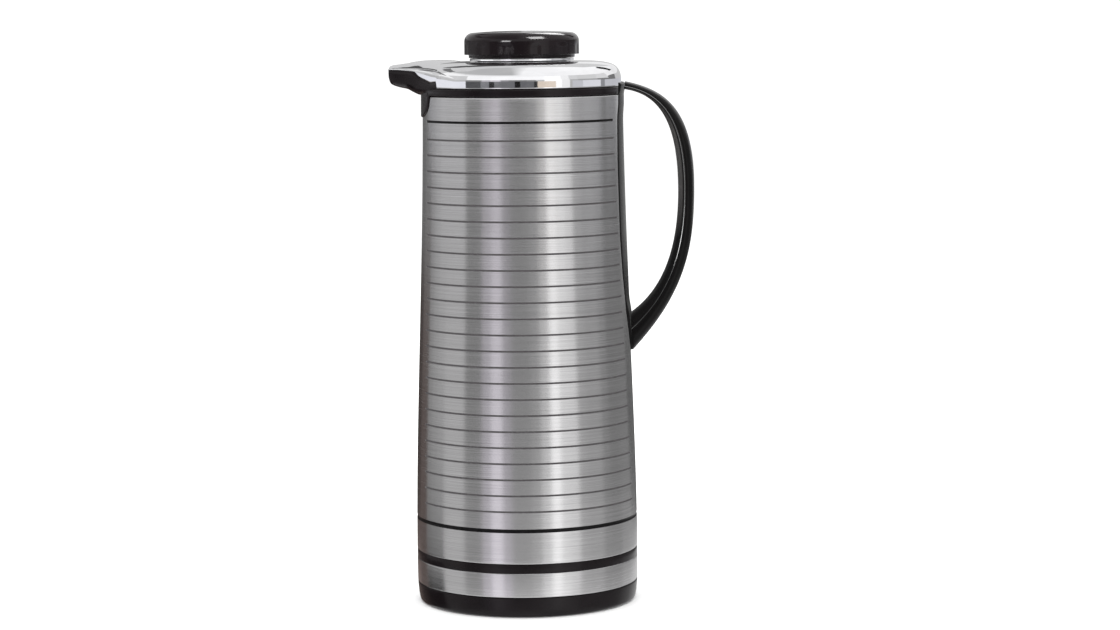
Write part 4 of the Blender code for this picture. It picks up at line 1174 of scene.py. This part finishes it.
def floor():
    """White ground with a faint mottle."""
    reach = 6.0
    corners = [(x * reach, y * reach, 0.0) for x, y in ((-1, -1), (1, -1), (1, 1), (-1, 1))]
    ground = new_piece("floor", corners, [(0, 1, 2, 3)])
    paint = Shader("floor_paint").set(Roughness=0.85, Specular_IOR_Level=0.2)
    paint.colour(paint.noise(3.0, 4.0), (0.90, 0.90, 0.90), (0.92, 0.92, 0.92))
    ground.data.materials.append(paint.material)
    ground.visible_glossy = False


def walls():
    """The glowing panels, table top, cards and lamps that the jug mirrors."""
    for index, (start, end, glows, colour) in enumerate(TENT_STRIPS):
        for level, (low, high, glow) in enumerate(zip(TENT_LEVELS, TENT_LEVELS[1:], glows)):
            tint = colour if level < TINTED_LEVELS[colour] else GREY
            glowing(studio_strip(f"tent_{index}_{level}", start, end, TENT_RADIUS, low, high), tint, glow)
    inner, outer, height, glow = TABLE_GLOW
    table = lathe("table_glow", [(inner, height), (outer, height)], steps=SMALL_ROUND, closed=False)
    glowing(table, GREY, glow)
    for index, (start, end, low, high, colour, glow) in enumerate(CARDS):
        glowing(studio_strip(f"card_{index}", start, end, CARD_RADIUS, low, high), colour, glow)
    start, end, low, high = RING_CARD
    ring_card = studio_strip("ring_card", start, end, RING_CARD_RADIUS, low, high)
    glowing(ring_card, GREY, RING_GLOW, "bright_ring")
    for lamp in LAMPS:
        lamp_card(*lamp)


def sky_ramp(tree, height, stops):
    """Grey levels read off against the height of a direction."""
    ramp = add_node(tree, "ShaderNodeValToRGB", {"Fac": height})
    elements = ramp.color_ramp.elements
    while len(elements) < len(stops):
        elements.new(0.5)
    for element, (place, level) in zip(elements, stops):
        element.position = place
        element.color = (level, level, level, 1.0)
    return ramp.outputs["Color"]


def sky(tree):
    """What polished metal sees above the walls: bright to the right, greyer overhead to the left."""
    direction = add_node(tree, "ShaderNodeTexCoord", {}).outputs["Generated"]
    split = add_node(tree, "ShaderNodeSeparateXYZ", {"Vector": direction}).outputs
    edge = {"Value": split["X"], "From Min": SKY_EDGE[0], "From Max": SKY_EDGE[1]}
    right = add_node(tree, "ShaderNodeMapRange", edge).outputs["Result"]
    glows = [sky_ramp(tree, split["Z"], stops) for stops in (LEFT_SKY, RIGHT_SKY)]
    sides = {"Factor": right, "A": glows[0], "B": glows[1]}
    return add_node(tree, "ShaderNodeMix", sides, data_type="RGBA").outputs["Result"]


def world():
    """Plain bright surroundings, in whose place mirrored rays see the sky."""
    studio = bpy.data.worlds.new("studio")
    bpy.context.scene.world = studio
    studio.use_nodes = True
    tree = studio.node_tree
    mirrored = add_node(tree, "ShaderNodeLightPath", {}).outputs["Is Glossy Ray"]
    views = {"Factor": mirrored, "A": (WORLD_GLOW, WORLD_GLOW, WORLD_GLOW, 1.0), "B": sky(tree)}
    mix = add_node(tree, "ShaderNodeMix", views, data_type="RGBA")
    tree.links.new(mix.outputs["Result"], tree.nodes["Background"].inputs["Color"])


def overhead_light():
    """Wide soft light above the jug, not seen in its metal."""
    light = bpy.data.lights.new("overhead", "AREA")
    light.shape = "DISK"
    light.size = 3.2
    light.energy = 62.0
    obj = bpy.data.objects.new("overhead", light)
    obj.location = (0.0, 0.3, 2.4)
    obj.visible_glossy = False
    bpy.context.scene.collection.objects.link(obj)


def camera():
    """Camera at the photographed view: turned, tilted and rolled from a level look at the jug's axis."""
    turn, tilt = CAMERA_TURN, CAMERA_TILT
    forward = Vector((math.sin(turn) * math.cos(tilt), math.cos(turn) * math.cos(tilt), -math.sin(tilt)))
    right = Vector((math.cos(turn), -math.sin(turn), 0.0))
    basis = Matrix((right, right.cross(forward), -forward)).transposed().to_4x4()
    place = Matrix.Translation((0.0, -CAMERA_DISTANCE, CAMERA_HEIGHT)) @ basis
    data = bpy.data.cameras.new("camera")
    data.sensor_width = 36.0
    data.lens = CAMERA_LENS
    data.clip_start, data.clip_end = 0.05, 50.0
    obj = bpy.data.objects.new("camera", data)
    spin = Matrix.Rotation(CAMERA_ROLL, 4, "Z")
    obj.matrix_world = Matrix.Rotation(CAMERA_AZIMUTH, 4, "Z") @ place @ spin
    bpy.context.scene.collection.objects.link(obj)
    bpy.context.scene.camera = obj
    bpy.context.scene.view_settings.view_transform = "Standard"


finishes = make_materials()
for build_piece in (shell, band, base, collar, cap, neck, knob, stopper_ring, plug, gasket, handle):
    build_piece(finishes)
finish_hidden_nodes(frame, finishes)
floor()
world()
walls()
overhead_light()
camera()
